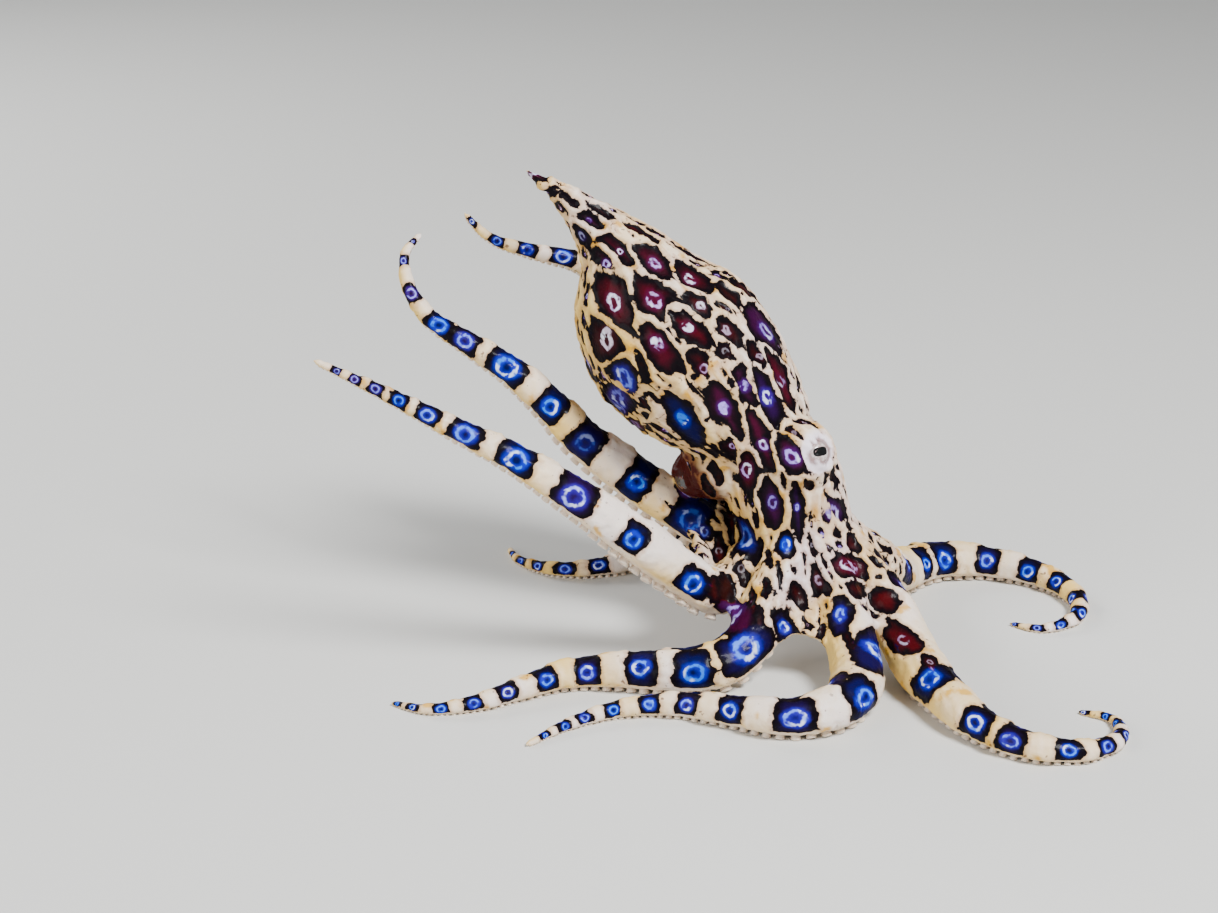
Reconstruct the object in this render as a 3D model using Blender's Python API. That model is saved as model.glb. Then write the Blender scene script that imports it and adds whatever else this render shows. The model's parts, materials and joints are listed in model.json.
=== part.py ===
# Blue-ringed octopus, life size: it stands on five of its arms, with its mantle up and to its right,
# and reaches out with the other three. +X is its left, +Y its belly side, +Z up, in metres.
import math

import bmesh
import bpy
from mathutils import Matrix, Vector

MM = 0.001
GAP = 0.3 * MM

# Where the mouth stands in the model's own frame, whose origin is under the middle of the whole.
MOUTH_X = 11.41 * MM
MOUTH_Y = 3.11 * MM

# Arm sizes. An arm keeps its full thickness for a third of its length and then tapers.
ARM_RADIUS = 3.35 * MM
ARM_TIP_RADIUS = 0.42 * MM
FULL_SHARE = 0.36
TAPER_POWER = 0.95
ORAL_DEPTH = 0.8
ARM_SIDES = 10
STATION_STEP = 3.2 * MM
ROUTE_STEPS = 24
FRAME_REACH = 0.8 * MM
CROWN_REACH = 13 * MM
LENGTH_SHARES = (0.52, 0.8)

# Suckers: two rows on the underside, their size and spacing following the arm's thickness.
SUCKER_SIDES = 6
SUCKER_BASE = 0.12 * MM
SUCKER_SHARE = 0.34
SUCKER_STAND = 0.5
SUCKER_FOOT_DEEP = 0.55
SUCKER_FOOT_WIDE = 0.74
SUCKER_FOOT_SHARE = 0.93
SUCKER_PIT = 0.12
SUCKER_PITCH = 2.3 * MM
SUCKER_PITCH_SHARE = 0.42
SUCKER_SPREAD = 0.42
SUCKER_TILT = math.radians(18)
SUCKER_START = 6.5 * MM
SUCKER_END = 1.2 * MM
SUCKER_CLEAR = 1.15
FLOOR_TRIM = 0.22 * MM
SLAB_SIZE = 300 * MM

# Every arm leaves the crown the same way: how far out from the mouth's axis, and how high.
CROWN_START = ((3.0, 16.6), (6.6, 13.2))

# Where each arm runs after that, in millimetres from the floor point under the mouth: x, y and
# the height of its underside off the floor. Angle is the way it leaves the crown, hint the way
# its outer side faces at its root and at its tip.
ARMS = {
    "L1": dict(angle=-64, hint=((0, 0, 1), (0, 0, 1)), route=(
        (4.8, -10.2, 5.2), (6.0, -15.4, 1.7), (5.8, -21.4, 0), (3.0, -27.4, 0), (-3.2, -29.8, 0),
        (-10.4, -26.8, 0), (-17.2, -24.0, 0), (-24.6, -24.4, 0), (-31.0, -28.0, 0), (-36.2, -33.2, 0))),
    "L2": dict(angle=-20, hint=((0, 0, 1), (0, 0, 1)), route=(
        (10.2, -5.8, 5.6), (12.8, -11.0, 1.8), (14.6, -17.0, 0), (16.8, -23.6, 0), (19.8, -30.4, 0),
        (25.0, -36.0, 0), (32.0, -37.2, 0), (37.4, -33.0, 0), (38.0, -26.4, 0), (33.8, -23.2, 0))),
    "L3": dict(angle=24, hint=((0, 0, 1), (0, 0, 1)), route=(
        (10.6, 5.6, 5.8), (12.8, 10.6, 2.0), (14.8, 16.6, 0), (19.8, 21.4, 0), (27.0, 22.4, 0),
        (34.0, 19.4, 0), (38.6, 13.4, 0), (38.4, 6.4, 0), (33.4, 2.6, 0), (28.8, 5.0, 0))),
    "L4": dict(angle=69, hint=((0, 0, 1), (0, 0, 1)), route=(
        (4.2, 10.6, 5.8), (4.4, 16.4, 2.0), (2.2, 22.8, 0), (-3.6, 28.4, 0), (-11.2, 30.0, 0),
        (-18.6, 27.6, 0), (-25.2, 23.4, 0), (-32.4, 22.6, 0), (-38.2, 26.6, 0), (-40.4, 32.6, 0))),
    "R4": dict(angle=112, hint=((-0.2, 0.6, 0.7), (0, -0.5, 0.8)), route=(
        (-5.6, 10.6, 12.6), (-9.2, 15.4, 16.6), (-13.6, 18.6, 24.0), (-18.4, 20.0, 32.4),
        (-23.6, 19.6, 40.4), (-29.6, 17.6, 46.4), (-36.0, 16.4, 48.8), (-41.6, 15.6, 51.2), (-45.2, 14.4, 55.4))),
    "R3": dict(angle=158, hint=((0, 0, 1), (0, -0.5, 0.85)), route=(
        (-11.0, 4.2, 10.6), (-16.0, 5.0, 13.4), (-22.3, 5.6, 17.8), (-28.6, 5.6, 23.2), (-33.4, 5.4, 29.0),
        (-38.2, 5.2, 34.2), (-44.0, 5.4, 38.6), (-49.4, 6.2, 42.4), (-52.2, 7.6, 46.6), (-52.8, 10.0, 50.6),
        (-50.8, 13.6, 52.8))),
    "R2": dict(angle=-157, hint=((0, 0, 1), (0, -0.45, 0.9)), route=(
        (-11.2, -6.6, 6.4), (-16.8, -9.4, 10.5), (-23.6, -12.0, 17.1), (-30.6, -14.0, 23.9), (-38.2, -15.0, 30.0),
        (-45.6, -15.0, 34.4), (-54.0, -14.2, 39.2), (-63.0, -12.6, 43.6))),
    "R1": dict(angle=-117, hint=((0, 0, 1), (0, 0, 1)), route=(
        (-5.2, -10.0, 5.6), (-7.8, -13.2, 2.2), (-12.0, -15.8, 0), (-17.8, -16.6, 0), (-24.6, -15.4, 0),
        (-31.2, -15.6, 0), (-37.0, -18.8, 0), (-42.8, -22.4, 0), (-48.8, -23.4, 0), (-53.8, -20.6, 0))),
}
ARM_ORDER = ("L1", "L2", "L3", "L4", "R4", "R3", "R2", "R1")

# Web: a sheet of skin between each two neighbouring arms, hollowed in its free edge.
WEB_THICKNESS = 1.1 * MM
WEB_START = 7 * MM
WEB_END = 20.5 * MM
WEB_NOTCH = 4.6 * MM
WEB_STEPS = 7
WEB_RISE = 0.25

# Mouth: a pit with round lips, under the crown.
LIP_RADIUS = 1.7 * MM
LIP_THICKNESS = 0.6 * MM
MOUTH_PIT = 1.3 * MM

# The body's axis, from the mouth to the tip of the mantle, in millimetres.
BODY_AXIS = (
    (0.6, 0.0, 7.5), (-0.2, 0.0, 13.5), (-1.5, 0.2, 18.6), (-3.4, 0.5, 24.4), (-5.9, 1.2, 29.3), (-10.0, 2.2, 34.0),
    (-15.6, 3.2, 39.2), (-20.9, 4.4, 45.8), (-24.9, 5.6, 53.0), (-30.8, 6.2, 59.4), (-36.6, 6.4, 63.4))
SIDEWAYS = Vector((0.87, -0.42, 0.24)).normalized()
BODY_SIDES = 22
AXIS_REACH = 0.04

# Cross-sections along the axis: place on the axis (0 to 10), half width, back depth, belly depth.
CROWN_SECTIONS = ((0.05, 3.4, 3.2, 3.2), (0.5, 5.4, 5.0, 5.0), (1.0, 7.0, 6.4, 6.4), (1.8, 7.7, 6.7, 6.8))
HEAD_SECTIONS = (
    (1.62, 7.6, 6.6, 6.7), (2.1, 7.7, 6.7, 6.9), (2.7, 7.9, 6.8, 7.1), (3.3, 7.2, 6.7, 7.0), (3.9, 5.6, 6.5, 6.8))
MANTLE_SECTIONS = (
    (3.75, 6.1, 6.9, 9.8), (3.95, 6.4, 7.3, 10.0), (4.3, 7.4, 8.0, 10.2), (4.8, 9.0, 8.9, 10.5),
    (5.3, 10.9, 9.6, 10.8), (5.8, 12.1, 10.0, 10.7), (6.3, 12.5, 10.0, 10.3), (6.7, 11.8, 9.6, 9.8),
    (7.1, 10.2, 8.6, 8.8), (7.45, 8.5, 7.3, 7.5), (7.8, 6.6, 5.9, 6.0), (8.1, 4.9, 4.5, 4.6), (8.45, 3.4, 3.2, 3.2),
    (8.85, 2.2, 2.1, 2.1), (9.3, 1.3, 1.2, 1.2), (9.97, 0.45, 0.4, 0.4))

# Finishes: the colour and roughness of the skin and of the eyes.
SKIN_COLOUR = (0.86, 0.76, 0.55)
SKIN_ROUGHNESS = 0.45
EYE_COLOUR = (0.32, 0.12, 0.06)
EYE_ROUGHNESS = 0.12

# Eyes: balls set in mounds on the sides of the head, each with a raised lid round it. The right one
# is raised further. Side is 1 for left and -1 for right, at the place on the body's axis, out how
# far from it, turn and rise how much the eye looks to the back and up the body, and mound the
# mound's radius.
EYES = {
    "eye_left": dict(side=1, at=3.3, out=7.6 * MM, turn=0.6, rise=0.12, mound=2.8 * MM),
    "eye_right": dict(side=-1, at=3.92, out=10.8 * MM, turn=2.0, rise=0.55, mound=3.5 * MM),
}
EYE_BACK = 3.4 * MM
EYE_RADIUS = 2.0 * MM
MOUND_STRETCH = 1.5
MOUND_SINK = 1.4 * MM
ROOT_SHARE = 0.6
ROOT_RADIUS = 5.0 * MM
LID_RADIUS = 1.65 * MM
LID_THICKNESS = 0.48 * MM
LID_OUT = 1.38 * MM
HEAD_VOXEL = 0.5 * MM
HEAD_SMOOTHING = 20
HEAD_THINNING = 0.08
RIM_STEPS = 16
BALL_SEGMENTS = 16
BALL_RINGS = 10
RIM_SIDES = 6

# Funnel: a short open tube on the belly side, from under the mantle's edge. Each point is a place
# on the body's axis, then millimetres to the left of it and to the belly side.
FUNNEL_ROUTE = ((3.69, -0.4, 9.9), (3.3, -1.4, 10.7), (2.95, -3.4, 11.4), (2.72, -6.0, 11.6))
FUNNEL_RADII = (2.3, 2.4, 2.15, 1.8)
FUNNEL_STEPS = 6
FUNNEL_BORE = 1.1 * MM
FUNNEL_BORE_DEPTH = 3.0 * MM
FUNNEL_SIDES = 12


def clear_scene():
    for thing in list(bpy.data.objects):
        bpy.data.objects.remove(thing)


def finish_material(name, color, roughness):
    made = bpy.data.materials.new(name)
    made.use_nodes = True
    shader = made.node_tree.nodes["Principled BSDF"]
    shader.inputs["Base Color"].default_value = (*color, 1)
    shader.inputs["Roughness"].default_value = roughness
    return made


def spline(points, at):
    """A Catmull-Rom curve through the points; at runs from 0 to the number of spans."""
    span = min(int(at), len(points) - 2)
    t = at - span
    first = points[span - 1] if span > 0 else points[0] * 2 - points[1]
    last = points[span + 2] if span + 2 < len(points) else points[-1] * 2 - points[-2]
    a, b, c, d = first, points[span], points[span + 1], last
    return 0.5 * (2 * b + (c - a) * t + (2 * a - 5 * b + 4 * c - d) * t ** 2 + (3 * b - a - 3 * c + d) * t ** 3)


def arm_radius(share):
    """Thickness of an arm at a share of its length."""
    taper = max(0.0, (share - FULL_SHARE) / (1 - FULL_SHARE))
    return ARM_RADIUS - (ARM_RADIUS - ARM_TIP_RADIUS) * taper ** TAPER_POWER


def sucker_radius(radius):
    return SUCKER_BASE + SUCKER_SHARE * radius


def rest_height(radius):
    """How high an arm's middle lies when its suckers stand on the floor."""
    return radius * ORAL_DEPTH + sucker_radius(radius) * SUCKER_STAND - FLOOR_TRIM


class Arm:
    """One arm's middle line, measured along its length."""

    def __init__(self, name):
        facts = ARMS[name]
        angle = math.radians(facts["angle"])
        out = Vector((math.cos(angle), math.sin(angle), 0))
        base = rest_height(ARM_RADIUS) / MM
        start = [out * far + Vector((0, 0, high - base)) for far, high in CROWN_START]
        points = [p * MM for p in start] + [Vector(p) * MM for p in facts["route"]]
        dense = [spline(points, i / ROUTE_STEPS) for i in range(ROUTE_STEPS * (len(points) - 1) + 1)]
        self.hints = [Vector(h).normalized() for h in facts["hint"]]
        self.along = [0.0]
        for p, q in zip(dense, dense[1:]):
            self.along.append(self.along[-1] + (q - p).length)
        self.length = self.along[-1]
        self.line = [
            Vector((MOUTH_X + p.x, MOUTH_Y + p.y, p.z + rest_height(arm_radius(s / self.length))))
            for p, s in zip(dense, self.along)]

    def radius(self, s):
        return arm_radius(s / self.length)

    def point(self, s):
        s = min(max(s, 0.0), self.length)
        low, high = 0, len(self.along) - 1
        while high - low > 1:
            middle = (low + high) // 2
            if self.along[middle] <= s:
                low = middle
            else:
                high = middle
        t = (s - self.along[low]) / (self.along[high] - self.along[low])
        return self.line[low].lerp(self.line[high], t)

    def frame(self, s):
        """The middle, and the ways along, to the outer side and across, at s along the arm."""
        tangent = (self.point(s + FRAME_REACH) - self.point(s - FRAME_REACH)).normalized()
        share = s / self.length
        hint = self.hints[0].lerp(self.hints[1], share * share * (3 - 2 * share))
        outer = (hint - tangent * hint.dot(tangent)).normalized()
        return self.point(s), tangent, outer, tangent.cross(outer)


def loft(name, rings):
    """A closed mesh object through rings of points, with flat ends."""
    mesh = bmesh.new()
    loops = [[mesh.verts.new(p) for p in ring] for ring in rings]
    count = len(rings[0])
    for lower, upper in zip(loops, loops[1:]):
        for k in range(count):
            n = (k + 1) % count
            mesh.faces.new((lower[k], lower[n], upper[n], upper[k]))
    mesh.faces.new(list(reversed(loops[0])))
    mesh.faces.new(loops[-1])
    bmesh.ops.triangulate(mesh, faces=mesh.faces[:])
    bmesh.ops.recalc_face_normals(mesh, faces=mesh.faces[:])
    return mesh_object(name, mesh)


def mesh_object(name, mesh):
    data = bpy.data.meshes.new(name)
    mesh.to_mesh(data)
    mesh.free()
    made = bpy.data.objects.new(name, data)
    bpy.context.scene.collection.objects.link(made)
    return made


def arm_ring(arm, s, extra=0.0):
    """The outline across an arm: round outside, flatter on the side of the suckers."""
    middle, _, outer, across = arm.frame(s)
    radius = arm.radius(s) + extra
    ring = []
    for k in range(ARM_SIDES):
        angle = 2 * math.pi * (k + 0.5) / ARM_SIDES
        depth = math.sin(angle) if math.sin(angle) > 0 else ORAL_DEPTH * math.sin(angle)
        ring.append(middle + across * (radius * math.cos(angle)) + outer * (radius * depth))
    return ring


def arm_tube(name, arm, start, end, extra=0.0):
    count = max(2, round((end - start) / STATION_STEP))
    stations = [start + (end - start) * i / count for i in range(count + 1)]
    return loft(name, [arm_ring(arm, s, extra) for s in stations])


def sucker(name, arm, s, side):
    """A cup with its root sunk in the arm's underside."""
    middle, tangent, outer, across = arm.frame(s)
    radius = arm.radius(s)
    size = sucker_radius(radius)
    axis = (across * (side * math.sin(SUCKER_TILT)) - outer * math.cos(SUCKER_TILT)).normalized()
    depth = ORAL_DEPTH * radius * SUCKER_FOOT_SHARE
    foot = middle + across * (side * SUCKER_SPREAD * radius) - outer * depth
    turned = axis.cross(tangent).normalized()
    angles = [2 * math.pi * k / SUCKER_SIDES for k in range(SUCKER_SIDES)]
    outline = [tangent * math.cos(angle) + turned * math.sin(angle) for angle in angles]
    mesh = bmesh.new()
    loops = []
    for wide, high in ((SUCKER_FOOT_WIDE, -SUCKER_FOOT_DEEP), (1, SUCKER_STAND)):
        level = foot + axis * (high * size)
        loops.append([mesh.verts.new(level + out * (wide * size)) for out in outline])
    pit = mesh.verts.new(foot + axis * (SUCKER_PIT * size))
    for k in range(SUCKER_SIDES):
        n = (k + 1) % SUCKER_SIDES
        mesh.faces.new((loops[0][k], loops[0][n], loops[1][n], loops[1][k]))
        mesh.faces.new((loops[1][k], loops[1][n], pit))
    mesh.faces.new(list(reversed(loops[0])))
    bmesh.ops.triangulate(mesh, faces=mesh.faces[:])
    bmesh.ops.recalc_face_normals(mesh, faces=mesh.faces[:])
    return mesh_object(name, mesh)


def sucker_places(arm):
    """Places along the arm and the row of each sucker, from the crown to near the tip."""
    places = []
    s, side = SUCKER_START, 1
    while s < arm.length - SUCKER_END:
        places.append((s, side))
        s += SUCKER_PITCH + SUCKER_PITCH_SHARE * arm.radius(s)
        side = -side
    return places


def arm_suckers(arm, start, end):
    """The suckers of one length of an arm, kept clear of its two ends."""
    made = []
    for s, side in sucker_places(arm):
        if start <= s < end:
            clear = SUCKER_CLEAR * sucker_radius(arm.radius(s)) + GAP
            placed = min(max(s, start + clear), end - clear)
            made.append(sucker("sucker", arm, placed, side))
    return made


def soften(thing, voxel, turns, share):
    """Runs the joined forms of a solid into one another, and then thins its mesh to a share."""
    remesh = thing.modifiers.new("remesh", "REMESH")
    remesh.mode = "VOXEL"
    remesh.voxel_size = voxel
    smooth = thing.modifiers.new("smooth", "SMOOTH")
    smooth.iterations = turns
    thin = thing.modifiers.new("thin", "DECIMATE")
    thin.ratio = share
    thin.use_collapse_triangulate = True
    apply_modifiers(thing)


def apply_modifiers(thing):
    bpy.context.view_layer.update()
    shaped = bpy.data.meshes.new_from_object(thing.evaluated_get(bpy.context.evaluated_depsgraph_get()))
    thing.modifiers.clear()
    thing.data = shaped


def apply_boolean(base, operation, others):
    """Joins or cuts with the other objects, and then removes them."""
    group = bpy.data.collections.new("joined")
    bpy.context.scene.collection.children.link(group)
    for other in others:
        bpy.context.scene.collection.objects.unlink(other)
        group.objects.link(other)
    step = base.modifiers.new("join", "BOOLEAN")
    step.operation = operation
    step.operand_type = "COLLECTION"
    step.collection = group
    step.solver = "MANIFOLD"
    apply_modifiers(base)
    for other in others:
        bpy.data.objects.remove(other)
    bpy.data.collections.remove(group)
    keep_largest(base)


def keep_largest(thing):
    """Keeps the largest closed surface of a mesh."""
    mesh = bmesh.new()
    mesh.from_mesh(thing.data)
    left = set(mesh.verts)
    groups = []
    while left:
        group, edge = set(), [left.pop()]
        while edge:
            v = edge.pop()
            group.add(v)
            for link in v.link_edges:
                other = link.other_vert(v)
                if other in left:
                    left.remove(other)
                    edge.append(other)
        groups.append(group)
    groups.sort(key=len)
    scraps = [v for group in groups[:-1] for v in group]
    bmesh.ops.delete(mesh, geom=scraps, context="VERTS")
    mesh.to_mesh(thing.data)
    mesh.free()


def floor_slab():
    """A block under the floor, which trims what stands on it to small flats."""
    mesh = bmesh.new()
    bmesh.ops.create_cube(mesh, size=SLAB_SIZE)
    bmesh.ops.translate(mesh, verts=mesh.verts[:], vec=(0, 0, -SLAB_SIZE / 2))
    return mesh_object("slab", mesh)


def body_axis():
    return [Vector((MOUTH_X, MOUTH_Y, 0)) + Vector(p) * MM for p in BODY_AXIS]


def body_frame(at):
    """The axis point, and the ways up the body, to its left and to its back."""
    axis = body_axis()
    low, high = max(at - AXIS_REACH, 0), min(at + AXIS_REACH, len(axis) - 1)
    up = (spline(axis, high) - spline(axis, low)).normalized()
    left = (SIDEWAYS - up * SIDEWAYS.dot(up)).normalized()
    return spline(axis, at), up, left, left.cross(up)


def beyond(at, distance):
    """The place on the body's axis that lies a distance further on."""
    axis = body_axis()
    span = spline(axis, at + AXIS_REACH) - spline(axis, at - AXIS_REACH)
    return at + distance * 2 * AXIS_REACH / span.length


def body_loft(name, sections):
    return loft(name, [body_ring(section) for section in sections])


def set_back(sections):
    """The same sections, with the first one a gap's width further on."""
    at, *sizes = sections[0]
    return ((beyond(at, GAP), *sizes),) + sections[1:]


def grown(sections):
    """The same sections, a gap's width larger all round."""
    return [(at, *(size + GAP / MM for size in sizes)) for at, *sizes in sections]


def body_ring(section):
    """An outline across the body."""
    at, wide, back_deep, belly_deep = section
    middle, _, left, back = body_frame(at)
    ring = []
    for k in range(BODY_SIDES):
        angle = 2 * math.pi * k / BODY_SIDES
        depth = (back_deep if math.sin(angle) > 0 else belly_deep) * math.sin(angle)
        ring.append(middle + (left * (wide * math.cos(angle)) + back * depth) * MM)
    return ring


def make_arms(arms, names, skin):
    """The lengths of every arm beyond the crown."""
    for name in names:
        arm = arms[name]
        cuts = [CROWN_REACH] + [arm.length * share for share in LENGTH_SHARES] + [arm.length]
        for piece, start, end in zip(("base", "middle", "tip"), cuts, cuts[1:]):
            if piece != "tip":
                end = end - GAP
            tube = arm_tube(f"arm_{name}_{piece}", arm, start, end)
            apply_boolean(tube, "UNION", arm_suckers(arm, start, end))
            if min(v.co.z for v in tube.data.vertices) < 0:
                apply_boolean(tube, "DIFFERENCE", [floor_slab()])
            tube.data.materials.append(skin)


def web_sheet(name, first, second):
    """The sheet between two neighbouring arms, from the middle of one to the middle of the other."""
    tops, unders = [], []
    for i in range(WEB_STEPS + 1):
        t = i / WEB_STEPS
        bow = math.sin(math.pi * t)
        reach = WEB_END - WEB_NOTCH * bow
        top_row, under_row = [], []
        for j in range(WEB_STEPS):
            s = WEB_START + (reach - WEB_START) * j / (WEB_STEPS - 1)
            a, _, outer_a, _ = first.frame(s)
            b, _, outer_b, _ = second.frame(s)
            normal = outer_a.lerp(outer_b, t).normalized()
            middle = a.lerp(b, t) + normal * (ARM_RADIUS * WEB_RISE * bow)
            top_row.append(middle + normal * (WEB_THICKNESS / 2))
            under_row.append(middle - normal * (WEB_THICKNESS / 2))
        tops.append(top_row)
        unders.append(under_row)
    mesh = bmesh.new()
    top = [[mesh.verts.new(p) for p in row] for row in tops]
    under = [[mesh.verts.new(p) for p in row] for row in unders]
    last_i, last_j = WEB_STEPS, WEB_STEPS - 1
    for i in range(last_i):
        for j in range(last_j):
            corners = ((i, j), (i + 1, j), (i + 1, j + 1), (i, j + 1))
            for p, q, r in ((0, 1, 2), (0, 2, 3)):
                mesh.faces.new([top[corners[n][0]][corners[n][1]] for n in (p, q, r)])
                mesh.faces.new([under[corners[n][0]][corners[n][1]] for n in (r, q, p)])
    edge = [(i, 0) for i in range(last_i)] + [(last_i, j) for j in range(last_j)]
    edge += [(i, last_j) for i in range(last_i, 0, -1)] + [(0, j) for j in range(last_j, 0, -1)]
    for (i, j), (m, n) in zip(edge, edge[1:] + edge[:1]):
        mesh.faces.new((top[i][j], under[i][j], under[m][n]))
        mesh.faces.new((top[i][j], under[m][n], top[m][n]))
    bmesh.ops.recalc_face_normals(mesh, faces=mesh.faces[:])
    return mesh_object(name, mesh)


def make_webs(arms, skin):
    """The webs, each cut clear of the two arms and the crown that it joins."""
    neighbours = ARM_ORDER[1:] + ARM_ORDER[:1]
    for a, b in zip(ARM_ORDER, neighbours):
        web = web_sheet(f"web_{a}_{b}", arms[a], arms[b])
        cutters = [arm_tube("cutter", arms[name], 0, WEB_END + ARM_RADIUS, GAP) for name in (a, b)]
        cutters.append(body_loft("cutter", grown(CROWN_SECTIONS)))
        apply_boolean(web, "DIFFERENCE", cutters)
        web.data.materials.append(skin)


def make_crown(arms, skin):
    """The ring of arm roots round the mouth."""
    crown = body_loft("arm_crown", CROWN_SECTIONS)
    middle, up, _, _ = body_frame(CROWN_SECTIONS[0][0])
    pieces = [arm_tube("root", arms[name], 0, CROWN_REACH - GAP) for name in ARM_ORDER]
    for name in ARM_ORDER:
        pieces += arm_suckers(arms[name], 0, CROWN_REACH - GAP)
    pieces.append(round_rim("lips", middle, up, LIP_RADIUS, LIP_THICKNESS))
    apply_boolean(crown, "UNION", pieces)
    cutters = [body_loft("cutter", grown(HEAD_SECTIONS)), ball("cutter", middle, MOUTH_PIT)]
    apply_boolean(crown, "DIFFERENCE", cutters)
    crown.data.materials.append(skin)


def ball(name, center, radius, way=Vector((0, 0, 1)), stretch=1):
    """A ball, or an egg that is stretched backwards along a way."""
    mesh = bmesh.new()
    bmesh.ops.create_uvsphere(mesh, u_segments=BALL_SEGMENTS, v_segments=BALL_RINGS, radius=radius)
    for v in mesh.verts:
        if v.co.z < 0:
            v.co.z *= stretch
    turn = way.to_track_quat("Z", "Y").to_matrix().to_4x4()
    bmesh.ops.transform(mesh, verts=mesh.verts[:], matrix=Matrix.Translation(center) @ turn)
    bmesh.ops.triangulate(mesh, faces=mesh.faces[:])
    return mesh_object(name, mesh)


def eye_place(name):
    """The middle of an eye, the way it looks, and the place on the body's axis level with it."""
    facts = EYES[name]
    middle, up, left, back = body_frame(facts["at"])
    out = left * facts["side"]
    look = (out + back * facts["turn"] + up * facts["rise"]).normalized()
    return middle + out * facts["out"] + back * EYE_BACK, look, middle


def round_rim(name, center, way, radius, thickness):
    """A raised ring of skin, round an eye or the mouth."""
    around = way.to_track_quat("Z", "Y").to_matrix()
    rings = []
    for k in range(RIM_STEPS):
        angle = 2 * math.pi * k / RIM_STEPS
        out = around @ Vector((math.cos(angle), math.sin(angle), 0))
        rings.append([
            center + out * radius + (out * math.cos(turn) + way * math.sin(turn)) * thickness
            for turn in (2 * math.pi * n / RIM_SIDES for n in range(RIM_SIDES))])
    mesh = bmesh.new()
    loops = [[mesh.verts.new(p) for p in ring] for ring in rings]
    for lower, upper in zip(loops, loops[1:] + loops[:1]):
        for k in range(RIM_SIDES):
            n = (k + 1) % RIM_SIDES
            mesh.faces.new((lower[k], lower[n], upper[n], upper[k]))
    bmesh.ops.triangulate(mesh, faces=mesh.faces[:])
    bmesh.ops.recalc_face_normals(mesh, faces=mesh.faces[:])
    return mesh_object(name, mesh)


def make_head(skin, eye_finish):
    head = body_loft("head", HEAD_SECTIONS)
    pieces, lids, sockets = [], [], []
    for name in EYES:
        center, look, middle = eye_place(name)
        pieces.append(ball("mound", center - look * MOUND_SINK, EYES[name]["mound"], look, MOUND_STRETCH))
        pieces.append(ball("root", middle.lerp(center, ROOT_SHARE), ROOT_RADIUS))
        lids.append(round_rim("lid", center + look * LID_OUT, look, LID_RADIUS, LID_THICKNESS))
        sockets.append(ball("socket", center, EYE_RADIUS + GAP))
        eye = ball(name, center, EYE_RADIUS)
        eye.data.materials.append(eye_finish)
    apply_boolean(head, "UNION", pieces)
    soften(head, HEAD_VOXEL, HEAD_SMOOTHING, HEAD_THINNING)
    apply_boolean(head, "UNION", lids)
    apply_boolean(head, "DIFFERENCE", sockets)
    apply_boolean(head, "DIFFERENCE", [body_loft("cutter", grown(MANTLE_SECTIONS))])
    head.data.materials.append(skin)


def make_mantle(skin):
    mantle = body_loft("mantle", set_back(MANTLE_SECTIONS))
    mantle.data.materials.append(skin)


def circle(middle, way, radius, reference):
    """A round outline across a tube that runs along the way, and turned like its neighbours."""
    across = way.cross(reference).normalized()
    other = way.cross(across).normalized()
    angles = [2 * math.pi * k / FUNNEL_SIDES for k in range(FUNNEL_SIDES)]
    return [middle + (across * math.cos(a) + other * math.sin(a)) * radius for a in angles]


def make_funnel(skin):
    """The funnel's open tube, on the belly side. Its root is cut level with the mantle's edge."""
    points = []
    for at, across, belly in FUNNEL_ROUTE:
        middle, _, left, back = body_frame(at)
        points.append(middle + (left * across - back * belly) * MM)
    spans = len(points) - 1
    _, up, _, back = body_frame(FUNNEL_ROUTE[0][0])
    rings = []
    for i in range(FUNNEL_STEPS + 1):
        at = spans * i / FUNNEL_STEPS
        way = spline(points, min(at + AXIS_REACH, spans)) - spline(points, max(at - AXIS_REACH, 0))
        if i == 0:
            way = -up
        radius = spline([Vector((r, 0, 0)) for r in FUNNEL_RADII], at).x * MM
        rings.append(circle(spline(points, at), way.normalized(), radius, back))
    funnel = loft("funnel", rings)
    way = (points[-1] - points[-2]).normalized()
    ends = (points[-1] - way * FUNNEL_BORE_DEPTH, points[-1] + way * MM)
    bore = loft("bore", [circle(end, way, FUNNEL_BORE, back) for end in ends])
    apply_boolean(funnel, "DIFFERENCE", [bore])
    funnel.data.materials.append(skin)


def main():
    clear_scene()
    skin = finish_material("skin", SKIN_COLOUR, SKIN_ROUGHNESS)
    eye_finish = finish_material("eye", EYE_COLOUR, EYE_ROUGHNESS)
    arms = {name: Arm(name) for name in ARM_ORDER}
    make_arms(arms, ARM_ORDER, skin)
    make_crown(arms, skin)
    make_webs(arms, skin)
    make_head(skin, eye_finish)
    make_mantle(skin)
    make_funnel(skin)


main()
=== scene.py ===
# %% [markdown]
# # A blue-ringed octopus, life size
#
# A blue-ringed octopus is small enough to sit in a hand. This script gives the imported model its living
# look: one smooth skin over the mantle, head, webs and arms, about 870 suckers, two eyes, and
# the warning pattern of dark patches with bright blue rings. All sizes are real ones, in metres.
#
# The model is loaded first, as a fixed frame. Everything that follows is built round it.

# %% Load the frame
import json
import math
import random

import bmesh
import bpy
import mathutils.noise
import numpy as np
from mathutils import Matrix, Vector
from mathutils.bvhtree import BVHTree
from mathutils.kdtree import KDTree

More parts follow.
